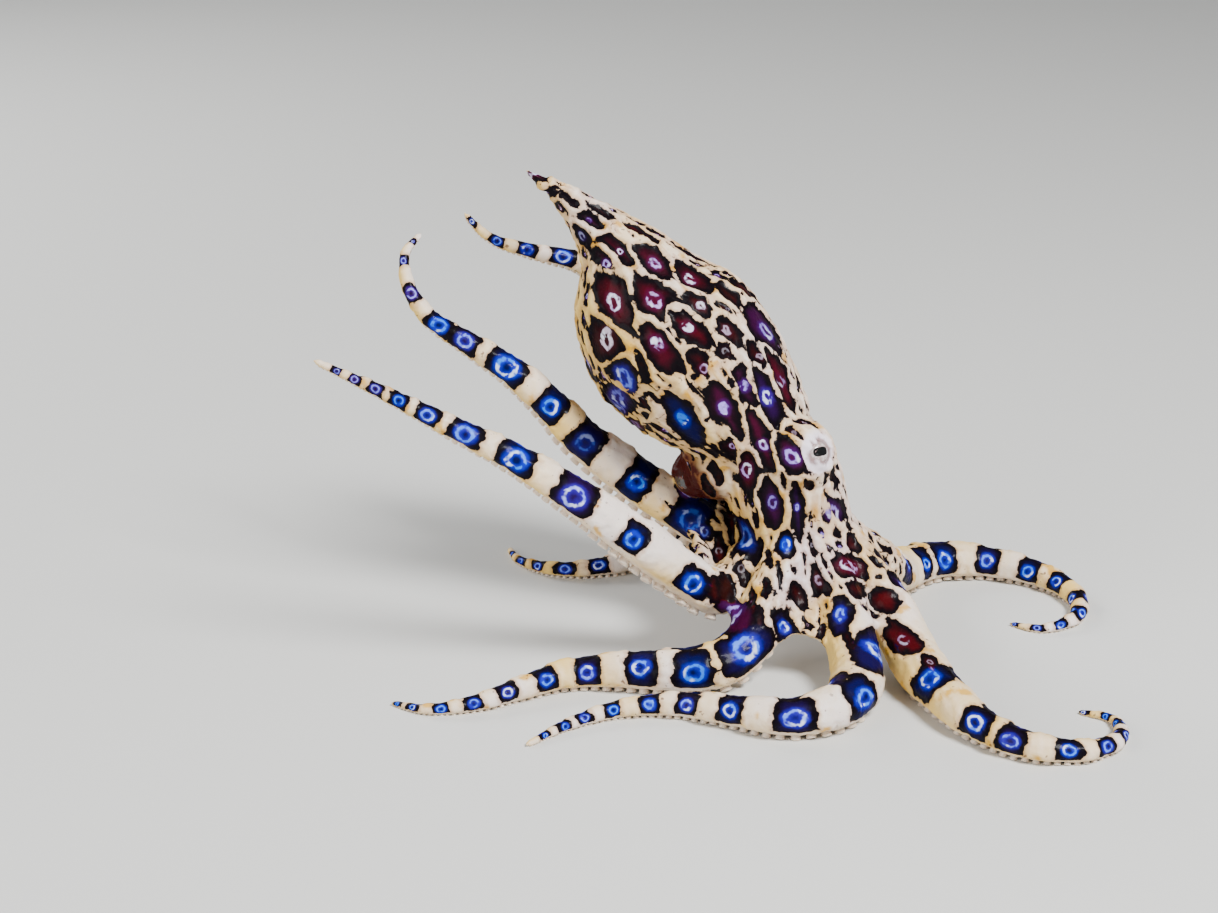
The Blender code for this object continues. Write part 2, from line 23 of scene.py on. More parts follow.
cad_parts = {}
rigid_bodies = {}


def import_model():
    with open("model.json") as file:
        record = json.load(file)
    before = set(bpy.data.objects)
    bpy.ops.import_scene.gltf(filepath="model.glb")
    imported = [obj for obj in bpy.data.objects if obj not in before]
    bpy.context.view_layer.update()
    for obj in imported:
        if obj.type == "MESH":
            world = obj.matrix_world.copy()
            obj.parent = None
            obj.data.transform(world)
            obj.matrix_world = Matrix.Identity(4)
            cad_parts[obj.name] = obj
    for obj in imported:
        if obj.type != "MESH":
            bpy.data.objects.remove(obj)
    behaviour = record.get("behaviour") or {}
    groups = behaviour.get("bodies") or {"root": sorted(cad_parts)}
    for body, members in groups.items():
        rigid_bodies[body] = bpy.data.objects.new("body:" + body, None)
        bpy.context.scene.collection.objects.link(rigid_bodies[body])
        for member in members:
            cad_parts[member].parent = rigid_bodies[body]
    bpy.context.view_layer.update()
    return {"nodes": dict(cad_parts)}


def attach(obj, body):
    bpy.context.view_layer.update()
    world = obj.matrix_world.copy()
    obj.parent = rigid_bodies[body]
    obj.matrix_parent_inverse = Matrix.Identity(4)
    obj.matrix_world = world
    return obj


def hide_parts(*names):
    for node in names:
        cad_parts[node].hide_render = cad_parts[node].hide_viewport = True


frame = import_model()
MM = 0.001
DICE = random.Random(7)

# %% [markdown]
# ## Camera
#
# The photograph looks at the octopus's back, a little from above. A long lens is right for a small animal
# seen from a safe distance. The camera comes first, because the pattern is laid out as the photograph
# shows it: a mark's place is a point of the picture, and a ray from the camera finds it on the skin.

# %% Camera
PICTURE = (1218, 913)
LENS = 85
SENSOR = 36
FOCAL_PIXELS = LENS / SENSOR * PICTURE[0]
NEAREST_SEEN = 10 * MM
ELEVATION = math.radians(20)
DISTANCE = 388.2 * MM
LOOK_AT = Vector((-14.4, 11.6, 23.3)) * MM

bpy.ops.object.select_all(action="DESELECT")
AIM = Vector((0, math.cos(ELEVATION), -math.sin(ELEVATION)))
bpy.ops.object.camera_add(location=LOOK_AT - AIM * DISTANCE, rotation=(math.pi / 2 - ELEVATION, 0, 0))
camera = bpy.context.object
camera.name = "camera"
camera.data.lens = LENS
camera.data.sensor_width = SENSOR
camera.data.clip_start = NEAREST_SEEN
bpy.context.scene.camera = camera
print("camera at", [round(v / MM) for v in camera.location], "mm")


def picture_ray(x, y):
    """Where the camera stands, and the way it looks through one point of the picture."""
    right = Vector((1, 0, 0))
    up = right.cross(AIM)
    way = AIM * FOCAL_PIXELS + right * (x - PICTURE[0] / 2) - up * (y - PICTURE[1] / 2)
    return camera.location.copy(), way.normalized()


# %% [markdown]
# ## Helpers for shaping
#
# An operator works on what is selected, so each new object starts from an empty selection. A smooth curve
# runs through given points, and gives every route of this animal. It passes through each of them, so
# a route is mended by moving the point that is off.

# %% Helpers for shaping
def deselect():
    """Leaves edit mode, with nothing selected."""
    if bpy.context.mode != "OBJECT":
        bpy.ops.object.mode_set(mode="OBJECT")
    bpy.ops.object.select_all(action="DESELECT")


def pick(*things):
    """Selects these objects only, and makes the first one active."""
    deselect()
    for thing in things:
        thing.select_set(True)
    bpy.context.view_layer.objects.active = things[0]


def spline(points, at):
    """A smooth curve through the points; at runs from 0 to the number of spans."""
    span = min(int(at), len(points) - 2)
    t = at - span
    first = points[span - 1] if span > 0 else points[0] * 2 - points[1]
    last = points[span + 2] if span + 2 < len(points) else points[-1] * 2 - points[-2]
    a, b, c, d = first, points[span], points[span + 1], last
    cubic = (3 * b - a - 3 * c + d) * t ** 3
    return 0.5 * (2 * b + (c - a) * t + (2 * a - 5 * b + 4 * c - d) * t ** 2 + cubic)


def coordinates(thing):
    """The places of an object's vertices, as one table."""
    flat = np.empty(len(thing.data.vertices) * 3)
    thing.data.vertices.foreach_get("co", flat)
    return flat.reshape(-1, 3)


def set_coordinates(thing, places):
    """Moves an object's vertices to these places."""
    thing.data.vertices.foreach_set("co", places.ravel())
    thing.data.update()


def apply_all(thing):
    """Applies an object's modifiers, in their order."""
    pick(thing)
    for step in list(thing.modifiers):
        bpy.ops.object.modifier_apply(modifier=step.name)


# %% [markdown]
# ## The arms' routes
#
# Five arms stand on the floor and three reach out. Each arm's middle line is a smooth curve through listed
# points, as the solids have it. They are in millimetres from the floor point under the mouth, and each
# height is how far the arm's underside is off the floor. Two hints say which way the arm's outer side,
# across from its suckers, faces at its base and at its tip.

# %% The arms' routes
MOUTH = Vector((11.41, 3.11, 0)) * MM
ARM_RADIUS = 3.35 * MM
ARM_TIP_RADIUS = 0.42 * MM
FULL_SHARE = 0.36
TAPER_POWER = 0.95
ORAL_DEPTH = 0.8
REST_STAND = 0.06 * MM
SUCKER_SHARE = 0.17
FLOOR_TRIM = 0.22 * MM
ROUTE_STEPS = 24
TANGENT_REACH = 0.8 * MM
CROWN_START = ((3.0, 16.6), (6.6, 13.2))
UP = (0, 0, 1)

ARMS = {
    "L1": dict(angle=-64, hint=(UP, UP), route=(
        (4.8, -10.2, 5.2), (6.0, -15.4, 1.7), (5.8, -21.4, 0), (3.0, -27.4, 0), (-3.2, -29.8, 0),
        (-10.4, -26.8, 0), (-17.2, -24.0, 0), (-24.6, -24.4, 0), (-31.0, -28.0, 0), (-36.2, -33.2, 0))),
    "L2": dict(angle=-20, hint=(UP, UP), route=(
        (10.2, -5.8, 5.6), (12.8, -11.0, 1.8), (14.6, -17.0, 0), (16.8, -23.6, 0), (19.8, -30.4, 0),
        (25.0, -36.0, 0), (32.0, -37.2, 0), (37.4, -33.0, 0), (38.0, -26.4, 0), (33.8, -23.2, 0))),
    "L3": dict(angle=24, hint=(UP, UP), route=(
        (10.6, 5.6, 5.8), (12.8, 10.6, 2.0), (14.8, 16.6, 0), (19.8, 21.4, 0), (27.0, 22.4, 0),
        (34.0, 19.4, 0), (38.6, 13.4, 0), (38.4, 6.4, 0), (33.4, 2.6, 0), (28.8, 5.0, 0))),
    "L4": dict(angle=69, hint=(UP, UP), route=(
        (4.2, 10.6, 5.8), (4.4, 16.4, 2.0), (2.2, 22.8, 0), (-3.6, 28.4, 0), (-11.2, 30.0, 0),
        (-18.6, 27.6, 0), (-25.2, 23.4, 0), (-32.4, 22.6, 0), (-38.2, 26.6, 0), (-40.4, 32.6, 0))),
    "R4": dict(angle=112, hint=((-0.2, 0.6, 0.7), (0, -0.5, 0.8)), route=(
        (-5.6, 10.6, 12.6), (-9.2, 15.4, 16.6), (-13.6, 18.6, 24.0), (-18.4, 20.0, 32.4), (-23.6, 19.6, 40.4),
        (-29.6, 17.6, 46.4), (-36.0, 16.4, 48.8), (-41.6, 15.6, 51.2), (-45.2, 14.4, 55.4))),
    "R3": dict(angle=158, hint=(UP, (0, -0.5, 0.85)), route=(
        (-11.0, 4.2, 10.6), (-16.0, 5.0, 13.4), (-22.3, 5.6, 17.8), (-28.6, 5.6, 23.2), (-33.4, 5.4, 29.0),
        (-38.2, 5.2, 34.2), (-44.0, 5.4, 38.6), (-49.4, 6.2, 42.4), (-52.2, 7.6, 46.6), (-52.8, 10.0, 50.6),
        (-50.8, 13.6, 52.8))),
    "R2": dict(angle=-157, hint=(UP, (0, -0.45, 0.9)), route=(
        (-11.2, -6.6, 6.4), (-16.8, -9.4, 10.5), (-23.6, -12.0, 17.1), (-30.6, -14.0, 23.9),
        (-38.2, -15.0, 30.0), (-45.6, -15.0, 34.4), (-54.0, -14.2, 39.2), (-63.0, -12.6, 43.6))),
    "R1": dict(angle=-117, hint=(UP, UP), route=(
        (-5.2, -10.0, 5.6), (-7.8, -13.2, 2.2), (-12.0, -15.8, 0), (-17.8, -16.6, 0), (-24.6, -15.4, 0),
        (-31.2, -15.6, 0), (-37.0, -18.8, 0), (-42.8, -22.4, 0), (-48.8, -23.4, 0), (-53.8, -20.6, 0))),
}
ARM_ORDER = ("L1", "L2", "L3", "L4", "R4", "R3", "R2", "R1")
print("arm routes:", len(ARMS))

# %% [markdown]
# ### An arm's middle line
#
# Everything on an arm, its suckers and bands too, is placed by how far along the arm it is. A small class
# measures the curve once, and then gives the point, the thickness and the directions at any length.

# %% An arm's middle line
def arm_radius(share):
    """An arm keeps its thickness for its first third, and then tapers to the tip."""
    taper = max(0.0, (share - FULL_SHARE) / (1 - FULL_SHARE))
    return ARM_RADIUS - (ARM_RADIUS - ARM_TIP_RADIUS) * taper ** TAPER_POWER


def rest_height(radius):
    """How high an arm's middle lies when its suckers stand on the floor."""
    return radius * (ORAL_DEPTH + SUCKER_SHARE) + REST_STAND - FLOOR_TRIM


class Arm:
    """One arm's middle line, measured along its length."""

    def __init__(self, name):
        facts = ARMS[name]
        self.name = name
        angle = math.radians(facts["angle"])
        out = Vector((math.cos(angle), math.sin(angle), 0))
        base = rest_height(ARM_RADIUS) / MM
        points = [(out * far + Vector((0, 0, high - base))) * MM for far, high in CROWN_START]
        points += [Vector(p) * MM for p in facts["route"]]
        dense = [spline(points, i / ROUTE_STEPS) for i in range(ROUTE_STEPS * (len(points) - 1) + 1)]
        self.hints = [Vector(h).normalized() for h in facts["hint"]]
        steps = [(q - p).length for p, q in zip(dense, dense[1:])]
        self.along = [0.0] + list(np.cumsum(steps))
        self.length = self.along[-1]
        self.line = [
            MOUTH + Vector((p.x, p.y, p.z + rest_height(arm_radius(s / self.length))))
            for p, s in zip(dense, self.along)]

    def radius(self, s):
        return arm_radius(s / self.length)

    def point(self, s):
        s = min(max(s, 0.0), self.length)
        i = min(max(int(np.searchsorted(self.along, s)), 1), len(self.along) - 1)
        t = (s - self.along[i - 1]) / (self.along[i] - self.along[i - 1])
        return self.line[i - 1].lerp(self.line[i], t)

    def frame(self, s):
        """The middle, and the ways along, to the outer side and across, at s along the arm."""
        tangent = (self.point(s + TANGENT_REACH) - self.point(s - TANGENT_REACH)).normalized()
        share = s / self.length
        hint = self.hints[0].lerp(self.hints[1], share * share * (3 - 2 * share))
        outer = (hint - tangent * hint.dot(tangent)).normalized()
        return self.point(s), tangent, outer, tangent.cross(outer)


arms = {name: Arm(name) for name in ARM_ORDER}
print("arm lengths in mm:", {name: round(arm.length / MM) for name, arm in arms.items()})

# %% [markdown]
# ## Arm tubes
#
# An arm is round on its outer side and flatter where its suckers sit. It could be extruded ring by ring,
# but a curve with a thickness at each point draws the round tube at once, and turns its rings evenly round
# the bends. Once it is a mesh, its underside is pressed in.

# %% Arm tubes
TUBE_STEP = 0.7 * MM
TUBE_SIDES = 5
TIP_ROUNDING = 0.35


def arm_tube(arm):
    """A closed tube along one arm, from inside the crown to the rounded tip."""
    deselect()
    bpy.ops.curve.primitive_nurbs_path_add()
    tube = bpy.context.object
    tube.name = f"tube_{arm.name}"
    curve = tube.data
    curve.splines.clear()
    count = round(arm.length / TUBE_STEP)
    path = curve.splines.new("POLY")
    path.points.add(count)
    for i, point in enumerate(path.points):
        s = arm.length * i / count
        point.co = (*arm.point(s), 1)
        point.radius = arm.radius(s)
    path.points[-1].radius *= TIP_ROUNDING
    curve.bevel_depth = 1
    curve.bevel_resolution = TUBE_SIDES
    curve.use_fill_caps = True
    curve.twist_mode = "MINIMUM"
    pick(tube)
    bpy.ops.object.convert(target="MESH")
    press_underside(bpy.context.object, arm)
    return bpy.context.object


def press_underside(tube, arm):
    """Moves the sucker side of a tube towards the arm's middle line."""
    finder = KDTree(len(arm.line))
    for i, point in enumerate(arm.line):
        finder.insert(point, i)
    finder.balance()
    for v in tube.data.vertices:
        _, i, _ = finder.find(v.co)
        middle, _, outer, _ = arm.frame(arm.along[i])
        depth = (v.co - middle).dot(outer)
        if depth < 0:
            v.co -= outer * (depth * (1 - ORAL_DEPTH))


tubes = [arm_tube(arm) for arm in arms.values()]
print("arm tubes:", len(tubes), "with", sum(len(t.data.polygons) for t in tubes), "faces")

# %% [markdown]
# ## Body
#
# The octopus's body is one bag: arms' crown, neck, head and mantle. Its axis rises from the mouth and
# bends back to the mantle's tip, and outlines across it give the width and the depth of the back and of
# the belly. The mantle's edge is free only on the belly side, where it overhangs the head. The bag could
# be drawn out of a ball, but outlines keep to real sizes: a disc is extruded from each one to the next.

# %% Body
BODY_AXIS = [MOUTH + Vector(p) * MM for p in (
    (0.6, 0.0, 7.5), (-0.2, 0.0, 13.5), (-1.5, 0.2, 18.6), (-3.4, 0.5, 24.4), (-5.9, 1.2, 29.3),
    (-10.0, 2.2, 34.0), (-15.6, 3.2, 39.2), (-20.9, 4.4, 45.8), (-24.9, 5.6, 53.0), (-30.8, 6.2, 59.4),
    (-36.6, 6.4, 63.4))]
SIDEWAYS = Vector((0.87, -0.42, 0.24)).normalized()
AXIS_REACH = 0.04
BODY_SIDES = 48

# Outlines: place on the axis (0 to 10), half width, back depth, belly depth in millimetres.
BODY_OUTLINES = (
    (0.05, 3.4, 3.2, 3.2), (0.5, 5.4, 5.0, 5.0), (1.0, 7.0, 6.4, 6.4), (1.6, 7.6, 6.6, 6.7),
    (2.1, 7.7, 6.7, 6.9), (2.7, 7.9, 6.8, 7.1), (3.3, 7.2, 6.7, 7.0), (3.7, 6.0, 6.6, 7.0),
    (3.85, 6.2, 7.0, 9.7), (4.0, 6.5, 7.4, 10.0), (4.3, 7.4, 8.0, 10.2), (4.8, 9.0, 8.9, 10.5),
    (5.3, 10.9, 9.6, 10.8), (5.8, 12.1, 10.0, 10.7), (6.3, 12.5, 10.0, 10.3), (6.7, 11.8, 9.6, 9.8),
    (7.1, 10.2, 8.6, 8.8), (7.45, 8.5, 7.3, 7.5), (7.8, 6.6, 5.9, 6.0), (8.1, 4.9, 4.5, 4.6),
    (8.45, 3.4, 3.2, 3.2), (8.85, 2.2, 2.1, 2.1), (9.3, 1.3, 1.2, 1.2), (9.97, 0.45, 0.4, 0.4))


def body_frame(at):
    """The axis point, and the ways up the body, to its left and to its back."""
    low, high = max(at - AXIS_REACH, 0), min(at + AXIS_REACH, len(BODY_AXIS) - 1)
    up = (spline(BODY_AXIS, high) - spline(BODY_AXIS, low)).normalized()
    left = (SIDEWAYS - up * SIDEWAYS.dot(up)).normalized()
    return spline(BODY_AXIS, at), up, left, left.cross(up)


def body_ring(outline):
    """Points round the body at one place on its axis."""
    at, wide, back_deep, belly_deep = outline
    middle, _, left, back = body_frame(at)
    ring = []
    for k in range(BODY_SIDES):
        angle = 2 * math.pi * k / BODY_SIDES
        depth = (back_deep if math.sin(angle) > 0 else belly_deep) * math.sin(angle)
        ring.append(middle + (left * (wide * math.cos(angle)) + back * depth) * MM)
    return ring


def loft_by_extruding(name, rings):
    """A disc on the first ring, extruded from ring to ring, with its last face as the far end."""
    deselect()
    bpy.ops.mesh.primitive_circle_add(vertices=len(rings[0]), fill_type="NGON")
    thing = bpy.context.object
    thing.name = name
    for v, place in zip(thing.data.vertices, rings[0]):
        v.co = place
    bpy.ops.object.mode_set(mode="EDIT")
    bpy.ops.mesh.select_all(action="SELECT")
    for lower, upper in zip(rings, rings[1:]):
        bpy.ops.mesh.extrude_region_move()
        mesh = bmesh.from_edit_mesh(thing.data)
        for v in mesh.verts:
            if v.select:
                k = min(range(len(lower)), key=lambda n: (v.co - lower[n]).length_squared)
                v.co = upper[k]
        bmesh.update_edit_mesh(thing.data)
    bpy.ops.mesh.select_all(action="SELECT")
    bpy.ops.mesh.normals_make_consistent(inside=False)
    bpy.ops.object.mode_set(mode="OBJECT")
    return thing


body = loft_by_extruding("body", [body_ring(outline) for outline in BODY_OUTLINES])
print("body:", len(body.data.vertices), "points in", len(BODY_OUTLINES), "outlines")

# %% [markdown]
# ## Eye mounds
#
# Each eye stands on a soft mound at the side of the head. The right one is larger and stands out further.
# An egg of skin goes behind the eye, a larger ball at its foot, and a rim for the lids, and the remesh
# runs them into the head. They are forms of their own, because a bulge pulled out of the body is hard to
# move later. An eye's place is given on the body's axis, with how far out it is. Turn and rise lean its
# look from sideways to the back and up the body.

# %% Eye mounds
EYES = {
    "eye_left": dict(side=1, at=3.3, out=7.6 * MM, turn=0.6, rise=0.12, mound=2.8 * MM),
    "eye_right": dict(side=-1, at=3.92, out=10.8 * MM, turn=2.0, rise=0.55, mound=3.5 * MM),
}
EYE_BACK = 3.4 * MM
EYE_RADIUS = 2.0 * MM
MOUND_STRETCH = 1.5
MOUND_SINK = 1.4 * MM
FOOT_SHARE = 0.6
FOOT_RADIUS = 5.0 * MM
LID_RADIUS = 1.5 * MM
LID_THICKNESS = 0.36 * MM
LID_OUT = 1.42 * MM
LID_SQUASH = 0.78
BALL_SEGMENTS, BALL_RINGS = 32, 20
RIM_SEGMENTS, RIM_SIDES = 40, 12


def eye_place(name):
    """The middle of an eye, the way it looks, and the place on the body's axis level with it."""
    facts = EYES[name]
    middle, up, left, back = body_frame(facts["at"])
    out = left * facts["side"]
    look = (out + back * facts["turn"] + up * facts["rise"]).normalized()
    return middle + out * facts["out"] + back * EYE_BACK, look, middle


def eye_turn(look):
    """The turn of an eye that looks that way and keeps its pupil level with the horizon."""
    level = Vector((0, 0, 1)).cross(look).normalized()
    return Matrix((level, look.cross(level), look)).transposed()


def add_ball(radius, location, turn=(0, 0, 0)):
    """A ball, turned so that it can be drawn out along one of its own axes."""
    deselect()
    bpy.ops.mesh.primitive_uv_sphere_add(
        segments=BALL_SEGMENTS, ring_count=BALL_RINGS, radius=radius, location=location, rotation=turn)
    return bpy.context.object


def add_ring(radius, thickness, location, turn, squash=1):
    """A swollen ring, made lower by squash."""
    deselect()
    bpy.ops.mesh.primitive_torus_add(
        major_radius=radius, minor_radius=thickness, major_segments=RIM_SEGMENTS,
        minor_segments=RIM_SIDES, location=location, rotation=turn)
    bpy.context.object.scale = (1, squash, 1)
    return bpy.context.object


def mound(name):
    """The egg, the foot and the lids of one eye's mound."""
    center, look, middle = eye_place(name)
    egg = add_ball(EYES[name]["mound"], center - look * MOUND_SINK, look.to_track_quat("Z", "Y").to_euler())
    for v in egg.data.vertices:
        v.co.z *= MOUND_STRETCH if v.co.z < 0 else 1
    foot = add_ball(FOOT_RADIUS, middle.lerp(center, FOOT_SHARE))
    rim_turn = eye_turn(look).to_euler()
    rim = add_ring(LID_RADIUS, LID_THICKNESS, center + look * LID_OUT, rim_turn, LID_SQUASH)
    return egg, foot, rim


mounds = [part for name in EYES for part in mound(name)]
print("eye mounds and lids:", len(mounds), "pieces")

# %% [markdown]
# ## Webs
#
# A sheet of skin joins each two neighbouring arms for the first quarter of their length, hollowed in
# its free edge. Cloth could be hung between the arms, but a plain grid is enough: its points are laid from
# one arm's middle to the other's, a little bowed, and Solidify gives it the same thickness all over.

# %% Webs
WEB_THICKNESS = 1.1 * MM
WEB_START = 4 * MM
WEB_END = 20.5 * MM
WEB_NOTCH = 4.6 * MM
WEB_STEPS = 16
WEB_RISE = 0.25


def web(first, second):
    """The sheet between the middles of two neighbouring arms."""
    deselect()
    bpy.ops.mesh.primitive_grid_add(x_subdivisions=WEB_STEPS, y_subdivisions=WEB_STEPS, size=1)
    sheet = bpy.context.object
    sheet.name = f"web_{first.name}_{second.name}_sheet"
    for v in sheet.data.vertices:
        t, share = v.co.x + 0.5, v.co.y + 0.5
        bow = math.sin(math.pi * t)
        s = WEB_START + (WEB_END - WEB_NOTCH * bow - WEB_START) * share
        a, _, outer_a, _ = first.frame(s)
        b, _, outer_b, _ = second.frame(s)
        normal = outer_a.lerp(outer_b, t).normalized()
        v.co = a.lerp(b, t) + normal * (ARM_RADIUS * WEB_RISE * bow)
    step = sheet.modifiers.new("thickness", "SOLIDIFY")
    step.thickness = WEB_THICKNESS
    step.offset = 0
    apply_all(sheet)
    return sheet


neighbours = zip(ARM_ORDER, ARM_ORDER[1:] + ARM_ORDER[:1])
webs = [web(arms[a], arms[b]) for a, b in neighbours]
print("webs:", len(webs))

# %% [markdown]
# ## Funnel
#
# The funnel is the tube that the octopus breathes out and swims with. It comes from under the mantle's
# edge on the belly side, here turned to the octopus's right. It is extruded from ring to ring, as the body
# is. A hole could be cut into its end, but its last rings turn back inside instead, so it stays one wall.

# %% Funnel
# Its route: place on the body's axis, and how far to the left and to the belly in millimetres.
FUNNEL_ROUTE = (
    (3.95, -0.4, 8.6), (3.69, -0.4, 9.9), (3.3, -1.4, 10.7), (2.95, -3.4, 11.4), (2.72, -6.0, 11.6))
FUNNEL_RADII = (2.3, 2.3, 2.4, 2.15, 1.8)
FUNNEL_STEPS = 16
FUNNEL_SIDES = 28
FUNNEL_BORE = 1.15 * MM
FUNNEL_DEPTH = 3.2 * MM
FUNNEL_LIP = 0.2
BORE_TAPER = 0.8


def circle(middle, way, radius, reference):
    """Points round a tube that runs along the way, turned like those next to them."""
    across = way.cross(reference).normalized()
    other = way.cross(across).normalized()
    angles = [2 * math.pi * k / FUNNEL_SIDES for k in range(FUNNEL_SIDES)]
    return [middle + (across * math.cos(a) + other * math.sin(a)) * radius for a in angles]


def funnel_rings():
    """The outside from root to end, and then the bore back into the tube."""
    points = []
    for at, across, belly in FUNNEL_ROUTE:
        middle, _, left, back = body_frame(at)
        points.append(middle + (left * across - back * belly) * MM)
    spans = len(points) - 1
    back = body_frame(FUNNEL_ROUTE[0][0])[3]
    rings = []
    for i in range(FUNNEL_STEPS + 1):
        at = spans * i / FUNNEL_STEPS
        way = spline(points, min(at + AXIS_REACH, spans)) - spline(points, max(at - AXIS_REACH, 0))
        radius = spline([Vector((r, 0, 0)) for r in FUNNEL_RADII], at).x * MM
        rings.append(circle(spline(points, at), way.normalized(), radius, back))
    way = (points[-1] - points[-2]).normalized()
    lip_radius = (FUNNEL_RADII[-1] * MM + FUNNEL_BORE) / 2
    rings.append(circle(points[-1] + way * FUNNEL_LIP * MM, way, lip_radius, back))
    rings.append(circle(points[-1], way, FUNNEL_BORE, back))
    rings.append(circle(points[-1] - way * FUNNEL_DEPTH, way, FUNNEL_BORE * BORE_TAPER, back))
    return rings


funnel = loft_by_extruding("funnel_tube", funnel_rings())
print("funnel:", len(funnel.data.vertices), "points")

# %% [markdown]
# ## One skin
#
# A living octopus has no seams. All its forms are joined, and a voxel remesh grows one surface over
# them, fine enough for the thin arm tips. A boolean union would leave a crease at every join, and uneven
# faces. Where arms, webs, head and mounds meet, smoothing by weight runs them into one another, and the
# rest is only relaxed a little. The mesh is then thinned a bit.

# %% One skin
VOXEL = 0.32 * MM
RELAX_TURNS = 4
BLEND_TURNS = 30
CROWN_AT = 13 * MM
BLEND_REACH = 17 * MM
TRIANGLE_LIMIT = 190000
WEIGHT_STEPS = 20
CROWN_BLEND_FROM = 0.6
FOOT_BLEND_TO = 1.7
LIP_RADIUS = 1.7 * MM
LIP_THICKNESS = 0.6 * MM
LIP_CLEAR = (LIP_RADIUS * 1.4, LIP_RADIUS * 2.5)
mouth_at, mouth_up, _, _ = body_frame(BODY_OUTLINES[0][0])


def smoothstep(low, high, value):
    """0 below low, 1 above high, and a soft rise between."""
    t = np.clip((value - low) / (high - low), 0, 1)
    return t * t * (3 - 2 * t)


def distance(places, point):
    """How far each place is from a point."""
    return np.linalg.norm(places - np.array(point), axis=1)


def weight_group(thing, name, weights):
    """A vertex group from one weight for each vertex, rounded to a few steps."""
    group = thing.vertex_groups.new(name=name)
    level = np.round(weights * WEIGHT_STEPS).astype(int)
    for step in range(1, WEIGHT_STEPS + 1):
        found = np.nonzero(level == step)[0]
        if len(found):
            group.add(found.tolist(), step / WEIGHT_STEPS, "REPLACE")


def near_joins(places):
    """One near the crown and the mounds' feet, and none on the mantle, the arms, lids and lips."""
    reach = distance(places, MOUTH + Vector((0, 0, CROWN_AT)))
    weight = 1 - smoothstep(BLEND_REACH * CROWN_BLEND_FROM, BLEND_REACH, reach)
    for name in EYES:
        center, look, middle = eye_place(name)
        foot = distance(places, middle.lerp(center, FOOT_SHARE))
        weight = np.maximum(weight, 1 - smoothstep(FOOT_RADIUS, FOOT_RADIUS * FOOT_BLEND_TO, foot))
        lid = distance(places, center + look * LID_OUT)
        weight *= smoothstep(LID_RADIUS + LID_THICKNESS, 2 * LID_RADIUS, lid)
    return weight * smoothstep(*LIP_CLEAR, distance(places, mouth_at))


def grow_skin(parts):
    """Joins the parts, grows one surface over them, blends their joins and thins the mesh."""
    pick(*parts)
    bpy.ops.object.join()
    skin = bpy.context.object
    skin.name = "skin"
    bpy.ops.object.transform_apply(location=True, rotation=True, scale=True)
    remesh = skin.modifiers.new("one surface", "REMESH")
    remesh.mode = "VOXEL"
    remesh.voxel_size = VOXEL
    apply_all(skin)
    weight_group(skin, "joins", near_joins(coordinates(skin)))
    relax = skin.modifiers.new("relax", "SMOOTH")
    relax.iterations = RELAX_TURNS
    blend = skin.modifiers.new("blend", "SMOOTH")
    blend.iterations = BLEND_TURNS
    blend.vertex_group = "joins"
    thin = skin.modifiers.new("thin", "DECIMATE")
    thin.ratio = TRIANGLE_LIMIT / (2 * len(skin.data.polygons))
    apply_all(skin)
    skin.vertex_groups.clear()
    return skin


lips = add_ring(LIP_RADIUS, LIP_THICKNESS, mouth_at, mouth_up.to_track_quat("Z", "Y").to_euler())
skin = grow_skin([body, lips, funnel] + tubes + mounds + webs)
print("skin:", len(skin.data.polygons), "faces")

# %% [markdown]
# ## Sockets and mouth
#
# The skin must open over each eye and at the mouth. Holes cut there would have raw edges, so none is cut:
# the points of the skin that lie over the eyeball, within the lids, are drawn in behind it, and those
# within the lips sink to a pit.

# %% Sockets and mouth
SOCKET_WIDE = 1.38 * MM
SOCKET_HIGH = 1.0 * MM
SOCKET_DEEP = 0.25 * MM
SOCKET_EDGE = (0.86, 1.12)
MOUTH_PIT = 1.3 * MM
PIT_BELOW = 0.3


def open_socket(places, name):
    """Draws the skin over an eye back on to a smaller ball, within an oval that ends at the lids."""
    center, look, _ = eye_place(name)
    local = (places - np.array(center)) @ np.array(eye_turn(look))
    inside = np.sqrt((local[:, 0] / SOCKET_WIDE) ** 2 + (local[:, 1] / SOCKET_HIGH) ** 2)
    pull = (1 - smoothstep(*SOCKET_EDGE, inside)) * (local[:, 2] > 0)
    reach = np.linalg.norm(local, axis=1)
    goal = local / reach[:, None] * (EYE_RADIUS - SOCKET_DEEP)
    local += (goal - local) * pull[:, None]
    return local @ np.array(eye_turn(look)).T + np.array(center)


places = coordinates(skin)
for name in EYES:
    places = open_socket(places, name)
pit = 1 - smoothstep(MOUTH_PIT / 2, MOUTH_PIT, distance(places, mouth_at - mouth_up * PIT_BELOW * MM))
places += np.array(mouth_up) * (pit * MOUTH_PIT)[:, None]
set_coordinates(skin, places)
print("drawn in at the mouth:", int((pit > 0).sum()), "points")

# %% [markdown]
# ## Where each point of the skin is
#
# The pattern follows the body, so every point of the skin learns its place: the arm it belongs to, how
# far along that arm it lies and how far round, or that it is on the body. Points on the underside of
# arms and webs are marked too, because no pattern grows there.

# %% Where each point of the skin is
ARM_START = 12.5 * MM
ARM_SKIN = (1.14, 0.3 * MM)
ARM_SAMPLE = 0.5 * MM
UNDER_SIDE = (-0.25, -0.75)
FACING_DOWN = (0.15, 0.6)
WEB_TOP = 16 * MM


def normals_of(thing):
    """The directions in which an object's surface faces, as one table."""
    flat = np.empty(len(thing.data.vertices) * 3)
    thing.data.vertices.foreach_get("normal", flat)
    return flat.reshape(-1, 3)


